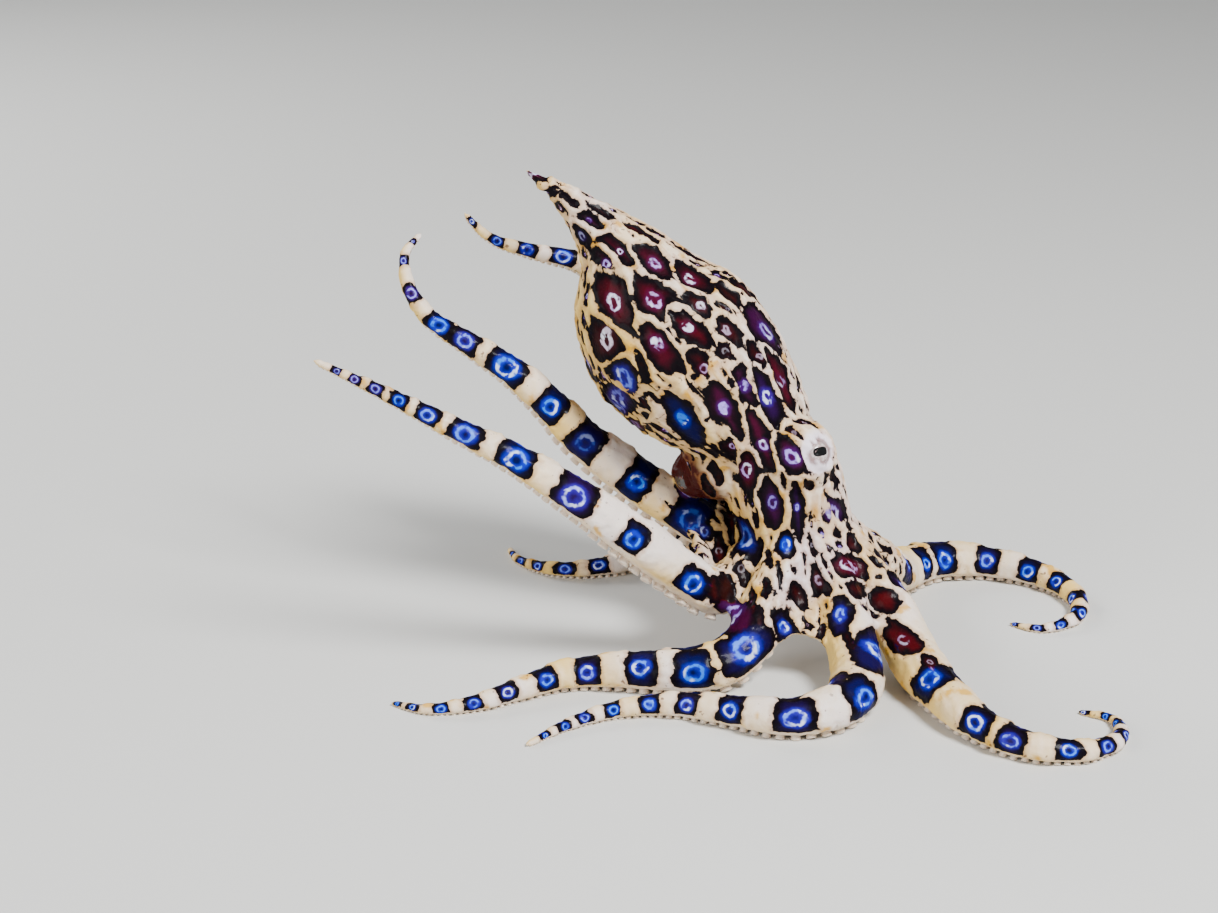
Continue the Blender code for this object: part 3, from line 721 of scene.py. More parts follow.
def nearest_on_arms(places):
    """For each place: the arm's number, how far along, the angle round, how far out, and its radius."""
    samples = []
    for number, name in enumerate(ARM_ORDER):
        arm = arms[name]
        for s in np.arange(0, arm.length, ARM_SAMPLE):
            middle, tangent, outer, across = arm.frame(s)
            samples.append((number, s, arm.radius(s), *middle, *tangent, *outer, *across))
    samples = np.array(samples)
    finder = KDTree(len(samples))
    for i, row in enumerate(samples):
        finder.insert(row[3:6], i)
    finder.balance()
    nearest = np.array([finder.find(place)[1] for place in places])
    rows = samples[nearest]
    gap = places - rows[:, 3:6]
    along = rows[:, 1] + (gap * rows[:, 6:9]).sum(1)
    outward = (gap * rows[:, 9:12]).sum(1)
    sideways = (gap * rows[:, 12:15]).sum(1)
    number, radius = rows[:, 0].astype(int), rows[:, 2]
    return number, along, np.arctan2(sideways, outward), np.linalg.norm(gap, axis=1), radius


normals = normals_of(skin)
arm_number, arm_along, arm_angle, arm_gap, arm_thick = nearest_on_arms(places)
on_arm = (arm_gap < arm_thick * ARM_SKIN[0] + ARM_SKIN[1]) & (arm_along > ARM_START)
under = np.where(on_arm, smoothstep(*UNDER_SIDE, np.cos(arm_angle)), 0.0)
below = smoothstep(*FACING_DOWN, -normals @ np.array(mouth_up)) * (places[:, 2] < WEB_TOP)
under = np.maximum(under, np.where(on_arm, 0, below))
print("points on the arms:", int(on_arm.sum()), "of", len(places), "and below:", int((under > 0.5).sum()))

# %% [markdown]
# ## Marks
#
# A mark is a dark patch with a bright ring in it. It could be painted as an image, but an image stretches
# on such a shape and blurs close up. Here each mark is an ellipse laid on the skin, and every point of the
# skin keeps its distance to the nearest patch edge and ring edge. Distances change smoothly from point to
# point, so the material can draw crisp edges between the mesh's points. The distance to the second nearest
# patch is kept too, because the cream net runs where two patches are equally near.

# %% Marks
FAR = 9 * MM
FAR_RING = 9.0
TINY = 1e-6
RING_LONGEST = 0.8
MARK_DEPTH = 2.6 * MM
RING_SHARE = 0.42
SPOT_SHARE = 0.24
SPOT_SLIM = 1.5
BIG_GROWTH = 1.6
SMALL_GROWTH = 1.35
SMALL_WIDE = 5
ENOUGH_FACING = 0.4

patch = np.full(len(places), FAR)
runner_up = np.full(len(places), FAR)
ring = np.full(len(places), FAR_RING)
tone = np.zeros(len(places))
shine = np.zeros(len(places))


def outline_distance(u, v, w, long, wide, power=2.0):
    """About how far points are outside an outline of those half sizes. u, v and w are shares of it."""
    u, v, w = np.abs(u) + TINY, np.abs(v), np.abs(w)
    size = (u ** power + v ** power + w ** power) ** (1 / power)
    slope = np.sqrt((u ** (power - 1) / long) ** 2 + (v ** (power - 1) / wide) ** 2
                    + (w ** (power - 1) / MARK_DEPTH) ** 2)
    return (size - 1) * size ** (power - 1) / slope


def lay_mark(u, v, w, long, wide, colour, bright, where=True, share=RING_SHARE, slim=1.0, power=2.0):
    """Keeps the mark for those points that it is nearest to. Tone is -1 black, 0 oxblood, 1 navy."""
    gap = np.where(where, outline_distance(u, v, w, long, wide, power), FAR)
    short = min(long, wide)
    ring_long, ring_wide = min(share * short * slim, RING_LONGEST * long), share * short
    inner = outline_distance(u * long / ring_long, v * wide / ring_wide, w, ring_long, ring_wide)
    nearer = gap < patch
    runner_up[:] = np.where(nearer, patch, np.minimum(runner_up, gap))
    patch[nearer] = gap[nearer]
    ring[nearer] = inner[nearer] / short
    tone[nearer] = colour
    shine[nearer] = max(bright, 0)


def lay_on_skin(place, normal, long_way, wide_way, colour, bright, share=SPOT_SHARE):
    """A mark on the tangent plane at a place of the skin, with its two half axes as vectors."""
    gap = places - np.array(place)
    basis = np.linalg.inv(np.array((long_way, wide_way, normal * MARK_DEPTH)))
    u, v, w = (gap @ basis).T
    facing = normals @ np.array(normal) > 0
    lay_mark(u, v, w, long_way.length, wide_way.length, colour, bright, facing, share, SPOT_SLIM)


surface = BVHTree.FromObject(skin, bpy.context.evaluated_depsgraph_get())


def lay_in_picture(x, y, long, wide, turn, colour, bright, share=SPOT_SHARE):
    """A mark whose middle, half sizes and turn are read in the picture, cast on to the skin."""
    eye, way = picture_ray(x, y)
    place, normal, _, far = surface.ray_cast(eye, way)
    if place is None:
        print("no skin at", x, y)
        return
    pixel = far / FOCAL_PIXELS
    right = Vector((1, 0, 0))
    down = AIM.cross(right)
    angle = math.radians(turn)
    slant = -max(abs(normal.dot(way)), ENOUGH_FACING)
    growth = BIG_GROWTH if wide > SMALL_WIDE else SMALL_GROWTH
    cos, sin = math.cos(angle), math.sin(angle)
    axes = []
    for size, across, downward in ((long, cos, sin), (wide, -sin, cos)):
        flat = (right * across + down * downward) * (size * pixel * growth)
        axes.append(flat - way * (flat.dot(normal) / slant))
    lay_on_skin(place, normal, *axes, colour, bright, share)


def lay_by_hand(marks):
    """Marks listed one by one: x, y, half length, half width and turn in the picture, tone and ring."""
    for mark in marks:
        lay_in_picture(*mark)
    return len(marks)


# %% [markdown]
# ### The mantle's marks
#
# On the mantle the patches are oxblood with near-black edges, long ones lying down the bag, and a pale
# violet ring or streak in each. Those on its lower side turn violet and navy. They are laid one by one
# where the photograph has them, because their places and shapes are what makes this one animal.

# %% The mantle's marks
MANTLE_MARKS = (
    (606, 264, 12, 7, 62, 0.35, 0.7), (620, 251, 16, 5.5, 38, 0.2, 0.7), (655, 263, 19, 9, 35, 0.25, 0.8),
    (690, 278, 17, 8, 32, 0.1, 0.7), (613, 302, 28, 12, 72, 0.1, 0.8), (606, 340, 16, 14, 90, -0.6, 1.0),
    (654, 300, 20, 13, 55, 0.15, 0.9), (688, 327, 23, 9.5, 35, 0.1, 0.7), (701, 306, 18, 8, 50, -0.3, 0.5),
    (657, 344, 21, 11, 62, 0.2, 0.9), (672, 334, 12, 3.5, 45, 0, 0), (727, 330, 18, 8, 45, -0.4, 0.4),
    (726, 352, 12, 7.5, 50, -0.5, 0.1), (726, 377, 14, 6, 50, 0.05, 0), (684, 368, 4, 3, 0, -0.5, 0),
    (704, 369, 17, 8, 60, 0.05, 0.5), (728, 310, 18, 4, 28, -0.3, 0.1),
    (733, 297, 16, 4.5, 42, -0.5, 0), (748, 291, 17, 4.5, 36, -0.5, 0), (768, 331, 25, 7, 48, 0.5, 0.5),
    (760, 357, 16, 5.5, 52, -0.4, 0.3), (782, 381, 26, 6.5, 64, 0.2, 0.3),
    (624, 379, 17, 11, 60, 0.8, 0.7), (641, 368, 15, 5.5, 75, -0.8, 0),
    (617, 402, 16, 12, 75, 0.7, 0.4), (643, 398, 18, 4.5, 80, -0.5, 0), (683, 420, 25, 9.5, 60, 1.0, 0.8),
    (724, 408, 28, 10.5, 65, 0.4, 1.0), (745, 386, 20, 9, 62, 0.45, 0.8), (768, 397, 23, 9.5, 65, 0.65, 0.8),
    (673, 389, 12, 4.5, 45, -0.3, 0), (763, 445, 29, 8.5, 68, 0.35, 0.9),
    (732, 447, 20, 6, 78, 0.2, 0.5), (746, 470, 17, 9.5, 85, 0.2, 0.9), (794, 432, 13, 5, 35, -0.5, 0.2),
    (791, 457, 20, 12, 48, 0.4, 0.8), (589, 220, 14, 5, 30, 0.4, 0.6), (570, 202, 12, 3, 42, -0.2, 0),
    (581, 236, 11, 5, 62, 0.6, 0.2), (607, 214, 13, 2.6, 30, -0.3, 0), (639, 231, 20, 2.8, 30, -0.4, 0),
    (690, 255, 22, 2.8, 32, -0.5, 0), (640, 322, 5, 4, 0, -0.4, 0), (634, 424, 14, 6, 60, 0.3, 0.2),
    (660, 390, 4, 3, 50, -0.6, 0), (779, 345, 18, 3.5, 55, -0.4, 0), (797, 405, 16, 3.5, 70, -0.4, 0),
)
print("marks on the mantle:", lay_by_hand(MANTLE_MARKS))

# %% [markdown]
# ### The head's and webs' marks
#
# On the head the patches are narrow and run down between cream ridges, and where the arms begin each
# carries one large mark, violet or navy, with a bright ring. Small dark ones crowd between them.

# %% The head's and webs' marks
HEAD_MARKS = (
    (772, 503, 20, 9, 82, 0.5, 0.5), (797, 508, 25, 5.6, 86, 0.6, 0.8), (745, 537, 20, 10, 86, 0.9, 0.4),
    (757, 527, 16, 3, 88, -0.9, 0), (731, 517, 18, 6, 80, -0.2, 0), (786, 545, 12, 8, 88, 1.0, 1.0),
    (834, 519, 16, 7, 68, 0.5, 0.4), (818, 508, 11, 4.5, 85, -0.2, 0), (853, 543, 12, 7.5, 50, 0, 0),
    (851, 566, 15, 8, 40, 0.05, 0.7), (872, 560, 11, 5, 40, 0, 0), (859, 588, 10, 5.5, 60, 0, 0),
    (882, 598, 13, 9, 30, 0, 0), (903, 640, 14, 9, 25, 0.02, 0.3), (818, 581, 15, 7, 68, -0.3, 0.4),
    (799, 596, 14, 7, 60, -0.5, 0), (811, 606, 10, 4, 85, -0.5, 0), (741, 568, 14, 7, 80, -0.7, 0.1),
    (727, 588, 12, 7, 95, -0.8, 0), (731, 617, 17, 13, 90, 0.42, 0.7),
    (784, 627, 22, 7.5, 62, 0.9, 1.0), (840, 614, 15, 9, 100, 0.85, 1.0), (877, 651, 17, 12, 48, 0.9, 1.0),
    (825, 474, 6, 3, 85, -0.9, 0), (836, 492, 6, 4, 70, 0.3, 0), (779, 575, 12, 3, 86, -0.4, 0),
    (760, 612, 10, 3, 95, -0.4, 0), (722, 500, 14, 4, 80, -0.6, 0), (709, 490, 10, 4, 60, -0.5, 0),
    (700, 500, 12, 5, 70, 0.7, 0.2), (783, 480, 10, 4, 80, -0.4, 0), (806, 482, 9, 4, 70, -0.3, 0),
    (812, 545, 12, 4, 80, -0.3, 0.1), (768, 560, 9, 4, 88, -0.4, 0), (828, 548, 11, 4, 60, 0.1, 0.2),
    (846, 525, 8, 4, 60, -0.5, 0), (884, 547, 9, 4, 45, -0.4, 0),
    (840, 587, 7, 3.5, 60, -0.3, 0), (875, 575, 9, 4, 40, -0.2, 0), (762, 640, 9, 4, 80, -0.3, 0),
    (818, 640, 10, 3, 70, -0.5, 0), (893, 624, 7, 4, 40, -0.4, 0), (930, 662, 9, 5, 30, -0.4, 0.3),
    (752, 598, 12, 4, 85, -0.2, 0), (715, 590, 12, 5, 80, -0.5, 0), (719, 550, 12, 6, 80, -0.5, 0.1),
    (704, 531, 12, 7, 60, 0.8, 0.3), (694, 550, 7, 3, 60, -0.3, 0), (850, 642, 8, 4, 60, -0.5, 0),
    (826, 603, 9, 3, 70, -0.5, 0), (716, 470, 15, 5, 78, -0.8, 0), (712, 452, 8, 4, 60, -0.6, 0),
    (832, 474, 9, 3.5, 70, -0.9, 0), (806, 437, 12, 2.2, 42, -0.6, 0), (833, 512, 14, 12, 60, 0.4, 0.5),
    (743, 553, 8, 5, 30, 0.3, 0),
    (822, 535, 12, 4.5, 75, 0.45, 0.4), (766, 590, 12, 4, 88, -0.5, 0),
    (777, 602, 9, 3, 80, -0.6, 0), (805, 566, 12, 4, 84, -0.4, 0.2), (829, 571, 13, 4.5, 62, 0.1, 0.4),
    (864, 545, 11, 4, 55, -0.2, 0), (841, 548, 8, 3.5, 60, 0.4, 0.5),
)
print("marks on the head and webs:", lay_by_hand(HEAD_MARKS))

# %% [markdown]
# ### The arms' marks
#
# Along the arms the patches are navy bands with cream between them, and a cobalt ring on each side.
# Near the base they are eye-shaped and don't go round. The bands that the photograph shows are placed
# by it. Between and beyond them bands follow one another wherever there is room, at a distance that
# shrinks with the arm.

# %% The arms' marks
BAND_STEP = (2.15, 1.5 * MM)
BAND_HALF = (0.62, 0.55 * MM)
BAND_ROUND = 1.2
BAND_POWER = 3.5
BAND_SIDE = math.radians(58)
BAND_TONE = (0.8, 1.0)
BAND_END = 0.6 * MM
BAND_CLEAR = 0.9 * MM
BAND_TRY = 0.5 * MM
BAND_LONG_SPREAD = (0.8, 1.1)
BAND_STEP_SPREAD = (0.85, 1.15)
BAND_TURN_SPREAD = (-0.15, 0.15)
BAND_SHIFT_SPREAD = (-0.3, 0.3)


def lay_on_arm(arm, s, angle, long, half_turn, colour, bright, share=RING_SHARE):
    """A mark at s along an arm, centred at an angle round it from its outer side."""
    number = ARM_ORDER.index(arm.name)
    away = (arm_angle - angle + math.pi) % (2 * math.pi) - math.pi
    radius = arm.radius(s)
    wide = half_turn * radius
    here = on_arm & (arm_number == number)
    u, v = (arm_along - s) / long, away * radius / wide
    lay_mark(u, v, 0, long, wide, colour, bright, here, share, power=BAND_POWER)


def towards_camera(arm, s):
    """The angle round the arm that faces the camera."""
    _, _, outer, across = arm.frame(s)
    return math.atan2(-AIM.dot(across), -AIM.dot(outer))


def along_in_picture(arm, x, y):
    """How far along the arm the place lies that the picture shows nearest to a point."""
    eye, way = picture_ray(x, y)
    misses = [(p - eye).cross(way).length for p in arm.line]
    return arm.along[misses.index(min(misses))]


def lay_bands(arm, start, end):
    """Bands with two rings each, between two places along the arm, wherever there is none yet."""
    mine = on_arm & (arm_number == ARM_ORDER.index(arm.name))
    s = start
    count = 0
    while s < min(end, arm.length - BAND_END):
        radius = arm.radius(s)
        long = BAND_HALF[0] * radius + BAND_HALF[1] * DICE.uniform(*BAND_LONG_SPREAD)
        if patch[mine & (np.abs(arm_along - s) < long + BAND_CLEAR)].min() < 0:
            s += BAND_TRY
            continue
        for side in (1, -1):
            angle = side * BAND_SIDE + DICE.uniform(*BAND_TURN_SPREAD)
            at = s + DICE.uniform(*BAND_SHIFT_SPREAD) * MM
            lay_on_arm(arm, at, angle, long, BAND_ROUND, DICE.uniform(*BAND_TONE), 1)
        s += BAND_STEP[0] * radius + BAND_STEP[1] * DICE.uniform(*BAND_STEP_SPREAD)
        count += 1
    return count


# %% The bands that the photograph shows
# Each seen band: x, y, half length along the arm in millimetres, half turn in radians, tone, ring.
SEEN_BANDS = {
    "R2": (
        (683, 573, 2.9, 0.75, 1.0, 1.0), (626, 532, 2.1, 0.85, 1.0, 1.0), (572, 490, 3.0, 1.5, 0.75, 1.0),
        (515, 453, 2.7, 1.5, 1.0, 1.0), (466, 429, 2.4, 1.5, 0.9, 1.0), (429, 411, 1.7, 1.5, 0.9, 0.9),
        (402, 397, 1.3, 1.5, 1.0, 0.8), (377, 387, 1.2, 1.5, 0.7, 0.7), (356, 377, 1.0, 1.5, 0.6, 0.7),
        (338, 369, 0.8, 1.5, 0.7, 0.5)),
    "R3": (
        (690, 515, 3.0, 1.5, 0.95, 0.3), (635, 477, 2.2, 1.5, 1.0, 1.0), (583, 436, 2.6, 1.5, 0.9, 0.2),
        (551, 400, 2.2, 1.5, 1.0, 1.0), (507, 362, 2.9, 1.5, 1.0, 1.0), (467, 337, 2.1, 1.5, 0.8, 1.0),
        (440, 325, 2.0, 1.5, 1.0, 1.0), (414, 292, 1.5, 1.5, 0.6, 0.9), (409, 262, 0.9, 1.5, 0.7, 0.8),
        (412, 243, 0.6, 1.5, 0.7, 0.5)),
    "R4": (
        (600, 262, 2.0, 1.5, 1.0, 1.0), (563, 243, 1.8, 1.5, 0.9, 0.9), (527, 247, 1.5, 1.5, 0.9, 0.8),
        (497, 236, 1.2, 1.5, 0.9, 0.7), (474, 217, 1.0, 1.5, 0.9, 0.6)),
    "R1": ((755, 669, 4.0, 1.0, 0.9, 1.0), (690, 672, 2.4, 1.1, 1.0, 0.8)),
    "L2": ((942, 692, 2.6, 1.1, 1.0, 1.0), (985, 726, 2.2, 1.1, 0.9, 0.9)),
    "L3": ((912, 573, 1.6, 1.0, 1.0, 1.0),),
}
BEHIND_TURN = math.radians(125)
for name, bands in SEEN_BANDS.items():
    arm = arms[name]
    found = []
    for x, y, long, half_turn, colour, bright in bands:
        s = along_in_picture(arm, x, y)
        facing = towards_camera(arm, s)
        lay_on_arm(arm, s, facing, long * MM, half_turn, colour, bright)
        behind = facing - math.copysign(BEHIND_TURN, facing)
        lay_on_arm(arm, s, behind, long * MM, half_turn, colour, bright)
        found.append(round(s / MM))
    print(name, "seen bands at", found)

# %% The other bands
# For each arm, where along it bands are tried, in millimetres.
BAND_SPANS = {"L1": (19, 75), "L2": (19, 75), "L3": (16, 75), "L4": (15, 78), "R4": (15, 48), "R1": (19, 67)}
for name, (start, end) in BAND_SPANS.items():
    print(name, "bands:", lay_bands(arms[name], start * MM, end * MM))

# %% [markdown]
# ### The sides that the photograph doesn't show
#
# The belly side and the far side carry the same pattern, a little smaller. Points of the skin are tried
# in a shuffled order, and a mark goes wherever there is room, lying down the body. On the skirt above
# the arms, and where the skin turns away from the camera, small ones fill in between those listed.

# %% Marks on the far sides
FILL_TRIES = 2600
FILL_LONG = (1.4, 3.8)
FILL_SLIM = (0.4, 0.62)
FILL_ROOM = 0.15 * MM
FILL_LEAN = 0.25
ROOM_SHARE = 0.75
UPPER_SIDE = 0.2
TURNED_AWAY = -0.12
TURNING_AWAY = -0.5
HEAD_HEIGHT = 30 * MM
SKIRT_TOP = 22 * MM


def fill(where, longs, slims, room, tones, brights):
    """Lays marks that run down the body, wherever there is room for one."""
    free = np.nonzero(where & ~on_arm & (under < UPPER_SIDE))[0].tolist()
    DICE.shuffle(free)
    count = 0
    for i in free[:FILL_TRIES]:
        long = DICE.uniform(*longs) * MM
        wide = long * DICE.uniform(*slims)
        if patch[i] < wide * ROOM_SHARE + room:
            continue
        place, normal = Vector(places[i]), Vector(normals[i])
        at = min(range(len(BODY_AXIS)), key=lambda n: (BODY_AXIS[n] - place).length)
        down = body_frame(at)[1]
        way = (down - normal * down.dot(normal)).normalized()
        way.rotate(Matrix.Rotation(DICE.gauss(0, FILL_LEAN), 3, normal))
        colour, bright = DICE.uniform(*tones), DICE.uniform(*brights)
        lay_on_skin(place, normal, way * long, normal.cross(way) * wide, colour, bright)
        count += 1
    return count


turn_away = normals @ np.array(AIM)
away = turn_away > TURNED_AWAY
high = places[:, 2] > HEAD_HEIGHT
skirt = ~away & (places[:, 2] < SKIRT_TOP)
turning = ~away & (places[:, 2] > SKIRT_TOP) & (turn_away > TURNING_AWAY)
# Each fill: where, half lengths in millimetres, slimness, room beside, tones and rings.
FILLS = {
    "on the mantle's far side": (away & high, FILL_LONG, FILL_SLIM, FILL_ROOM, (0, 0.5), (0.5, 1)),
    "lower down on that side": (away & ~high, FILL_LONG, FILL_SLIM, FILL_ROOM, (0.3, 1), (0.5, 1)),
    "between those on the skirt": (skirt, (0.7, 2.0), (0.28, 0.45), 0.1 * MM, (-0.6, 0.8), (-1, 0.6)),
    "where the skin turns away": (turning, (1.1, 2.6), (0.4, 0.6), FILL_ROOM, (-0.3, 0.6), (0.2, 1)),
}
for place_name, facts in FILLS.items():
    print("marks", place_name, fill(*facts))

# %% [markdown]
# ### Ragged edges and streaks
#
# The edges of the patches are ragged, and thin black streaks run between them down the body. Both come
# from noise on a chart of the skin that is stretched along the body, and on the arms only a little. Where
# two patches meet, a narrow cream channel is kept open between them, so that the net has no gaps.

# %% Ragged edges and streaks
CHART_STRETCH = 0.30
ARM_STRETCH = 0.8
ARM_APART = 100 * MM
AXIS_SAMPLES = 300
AXIS_END = 0.01
RAGGED_SCALE = 1.1 * MM
RAGGED = 0.9 * MM
RAGGED_ON_ARMS = 0.5
CHANNEL = 0.30 * MM
STREAK_SCALE = 0.85 * MM
STREAK_FROM = 0.37
STREAK_SLOPE = 2.2 * MM
STREAK_ROOM = (0.25 * MM, 0.7 * MM)
STREAK_DEPTH = 0.5 * MM
STREAK_TONE = -0.6
STREAK_SHIFT = 20 * MM
NEARLY_NONE = 0.1


def noise_at(places, scale):
    """Smooth noise at each place, with bumps of about that size."""
    return np.array([mathutils.noise.noise(Vector(p) / scale) for p in places])


def skin_chart():
    """For each point: how far it lies to two sides of its axis, and how far along it, drawn together."""
    ats = np.linspace(0, len(BODY_AXIS) - 1 - AXIS_END, AXIS_SAMPLES)
    frames = [body_frame(at) for at in ats]
    lengths = np.cumsum([0] + [(b[0] - a[0]).length for a, b in zip(frames, frames[1:])])
    finder = KDTree(len(frames))
    for i, (middle, _, _, _) in enumerate(frames):
        finder.insert(middle, i)
    finder.balance()
    nearest = np.array([finder.find(place)[1] for place in places])
    table = np.array([(*middle, *up, *left, *back) for middle, up, left, back in frames])[nearest]
    gap = places - table[:, 0:3]
    along = lengths[nearest] + (gap * table[:, 3:6]).sum(1)
    sideways, backwards = (gap * table[:, 6:9]).sum(1), (gap * table[:, 9:12]).sum(1)
    body_chart = np.stack([sideways, backwards, along * CHART_STRETCH], 1)
    outward, across = np.cos(arm_angle) * arm_gap, np.sin(arm_angle) * arm_gap
    arm_chart = np.stack([outward, across, arm_along * ARM_STRETCH], 1)
    arm_chart[:, 2] += arm_number * ARM_APART
    return np.where(on_arm[:, None], arm_chart, body_chart)


chart = skin_chart()
fray = noise_at(chart, RAGGED_SCALE)
channel = CHANNEL * (1 + fray) - (runner_up - patch) / 2
patch += fray * RAGGED * np.where(on_arm, RAGGED_ON_ARMS, 1)
patch = np.where(on_arm, patch, np.maximum(patch, channel))
streak = (STREAK_FROM - noise_at(chart + STREAK_SHIFT, STREAK_SCALE)) * STREAK_SLOPE
room = smoothstep(*STREAK_ROOM, patch) * (~on_arm) * (under < NEARLY_NONE)
streaked = (room > 0.5) & (streak < patch)
patch[streaked] = np.maximum(streak, -STREAK_DEPTH)[streaked]
tone[streaked] = np.where(streak < 0, STREAK_TONE, tone)[streaked]
shine[streaked & (streak < 0)] = 0
print("points in streaks:", int((streaked & (streak < 0)).sum()))

# %% [markdown]
# ## Relief
#
# The cream net stands proud of the dark patches, less on the arms, and the skin has fine folds between
# them. Both are moves of the skin's points along their normals, so they are in the mesh itself, where a
# bump in the material would not show at the outline. The eyes' mounds are calm: they carry no marks and no
# folds.

# %% Relief
NET_RISE = 0.26 * MM
NET_EDGE = 0.35 * MM
NET_ON_BODY = 1.7
FOLD_HEIGHT = 0.14 * MM
FOLD_SCALE = 1.5 * MM
FOLD_SHARPNESS = 2.2
GRAIN_HEIGHT = 0.08 * MM
GRAIN_SCALE = 0.7 * MM
FULL_RELIEF_RADIUS = 2.2 * MM
LEAST_RELIEF = 0.15
OVER_FLOOR = 0.02 * MM
CALM_REACH = {"eye_left": (2.3 * MM, 2.9 * MM), "eye_right": (3.2 * MM, 4.2 * MM)}


def eye_nearness(name, low, high):
    """One at an eye and within low of its middle, and none from high on."""
    return 1 - smoothstep(low, high, distance(places, eye_place(name)[0]))


calm = np.maximum.reduce([eye_nearness(name, *reach) for name, reach in CALM_REACH.items()]) * ~on_arm
raised = smoothstep(-NET_EDGE, NET_EDGE, patch) * (1 - under) - 0.5
folds = 1 - FOLD_SHARPNESS * np.abs(noise_at(places, FOLD_SCALE))
thin_places = np.where(on_arm, np.clip(arm_thick / FULL_RELIEF_RADIUS, LEAST_RELIEF, 1), 1)
height = NET_RISE * raised * thin_places * np.where(on_arm, 1, NET_ON_BODY)
height += (FOLD_HEIGHT * folds * thin_places + GRAIN_HEIGHT * noise_at(places, GRAIN_SCALE)) * (1 - calm)
places += normals * height[:, None]
places[:, 2] = np.maximum(places[:, 2], OVER_FLOOR)
set_coordinates(skin, places)
normals = normals_of(skin)
print("relief in mm:", round(height.min() / MM, 2), "to", round(height.max() / MM, 2))

# %% [markdown]
# ## Tints
#
# The cream is warmer on the animal's right side and whiter where the skin faces its left, towards the key
# light; that whitening is painted light, and the cream's drift besides is its own tone. The skirt is washed
# with lilac. Ochre flecks, the lilac mound of the left eye, the red-brown mound of the right one and the pale
# underside are tinted here too. The tints change little from one point of the skin to the next, so one
# colour kept at each point is enough for them, and the material adds the marks.

# %% Tints
CREAM = (0.80, 0.54, 0.15)
WHITE = (0.82, 0.72, 0.66)
OCHRE = (0.64, 0.33, 0.006)
MOUND_RED = (0.050, 0.006, 0.004)
LILAC = (0.80, 0.72, 0.80)
UNDERSIDE = (0.74, 0.62, 0.50)
MOUTH_BROWN = (0.30, 0.16, 0.10)
OCHRE_FLECKS = (
    (595, 243, 1.2), (674, 269, 0.9), (712, 287, 1.3), (631, 348, 1.0), (688, 393, 0.9), (741, 496, 1.1),
    (604, 226, 0.8), (650, 379, 0.9), (724, 374, 0.8), (760, 592, 1.6), (664, 396, 0.9), (699, 380, 0.8),
    (748, 319, 0.8), (705, 345, 0.7))
LILAC_WASHES = ((806, 540, 3.5), (812, 574, 4.5), (843, 556, 3.8), (858, 588, 3.2), (790, 590, 3.0))
WASH_SHARE = 0.75
DAB_CORE = 0.4
# The second of these is painted light: the cream turns whiter where the skin faces the animal's left, towards
# the key light.
WHITE_SHARE, PAINTED_LIGHT_TO_LEFT, WHITE_DRIFT = 0.32, 0.6, 0.7
DRIFT_SCALE = 9 * MM
SCATTER_SCALE = 2.2 * MM
SCATTER_SHIFT = 50 * MM
SCATTER_FROM = (0.42, 0.55)
SCATTER_SHARE = 0.8
UNDER_SHARE = 0.85
MOUTH_REACH = (1.2 * MM, 2.1 * MM)
MOUND_TINTS = {
    "eye_right": (MOUND_RED, 5.4 * MM, 6.8 * MM),
    "eye_left": (LILAC, 2.6 * MM, 3.4 * MM),
}
LID_EDGES = {"eye_right": (0.05, 0.015, 0.012), "eye_left": (0.30, 0.20, 0.20)}
LID_EDGE_REACH = (2.1 * MM, 2.28 * MM)


def blend_tint(colour, share):
    """Moves the tint towards a colour by that share at each point."""
    tint[:] += (np.array(colour) - tint) * np.clip(share, 0, 1)[:, None]


def dab(colour, spots, share):
    """Round dabs of a colour on the skin, each x and y in the picture and a radius in millimetres."""
    for x, y, radius in spots:
        eye, way = picture_ray(x, y)
        hit = surface.ray_cast(eye, way)[0]
        if hit is None:
            print("no skin for a dab at", x, y)
            continue
        near = 1 - smoothstep(DAB_CORE * radius * MM, radius * MM, distance(places, hit))
        blend_tint(colour, share * near)


tint = np.tile(np.array(CREAM), (len(places), 1))
drift = noise_at(places, DRIFT_SCALE)
# Painted light: whiter where the skin faces the animal's left, towards the key light. The drift is the
# cream's own uneven tone.
blend_tint(WHITE, WHITE_SHARE + PAINTED_LIGHT_TO_LEFT * (normals @ np.array(SIDEWAYS)) + WHITE_DRIFT * drift)
dab(OCHRE, OCHRE_FLECKS, 1)
scattered = noise_at(places + SCATTER_SHIFT, SCATTER_SCALE)
blend_tint(OCHRE, smoothstep(*SCATTER_FROM, scattered) * SCATTER_SHARE)
dab(LILAC, LILAC_WASHES, WASH_SHARE)
for name, (colour, low, high) in MOUND_TINTS.items():
    blend_tint(colour, eye_nearness(name, low, high) * ~on_arm)
    blend_tint(LID_EDGES[name], eye_nearness(name, *LID_EDGE_REACH))
blend_tint(UNDERSIDE, under * UNDER_SHARE)
blend_tint(MOUTH_BROWN, 1 - smoothstep(*MOUTH_REACH, distance(places, mouth_at)))
tint = np.clip(tint, 0, 1)
print("mean tint:", [round(float(part), 2) for part in tint.mean(axis=0)])

# %% [markdown]
# ### What the material reads
#
# The numbers of the pattern are stored on the skin's points as attributes, which stay with the mesh in
# every view. Underneath and on the eyes' mounds the patch distance is raised, so that no patch shows there.

# %% What the material reads
UNDER_CLEAR = 4
CALM_CLEAR = 3


def keep_attribute(thing, name, values):
    """Stores one number for each point, for the material to read."""
    layer = thing.data.attributes.new(name, "FLOAT", "POINT")
    layer.data.foreach_set("value", np.asarray(values, dtype=np.float32))


def keep_colour(thing, name, colours):
    """Stores one colour for each point."""
    layer = thing.data.attributes.new(name, "FLOAT_COLOR", "POINT")
    whole = np.ones((len(colours), 4), dtype=np.float32)
    whole[:, :3] = colours
    layer.data.foreach_set("color", whole.ravel())


keep_attribute(skin, "patch", patch / MM + under * UNDER_CLEAR + calm * CALM_CLEAR)
keep_attribute(skin, "ring", ring)
keep_attribute(skin, "tone", tone)
keep_attribute(skin, "shine", shine)
keep_colour(skin, "tint", tint)
print("attributes:", [layer.name for layer in skin.data.attributes])

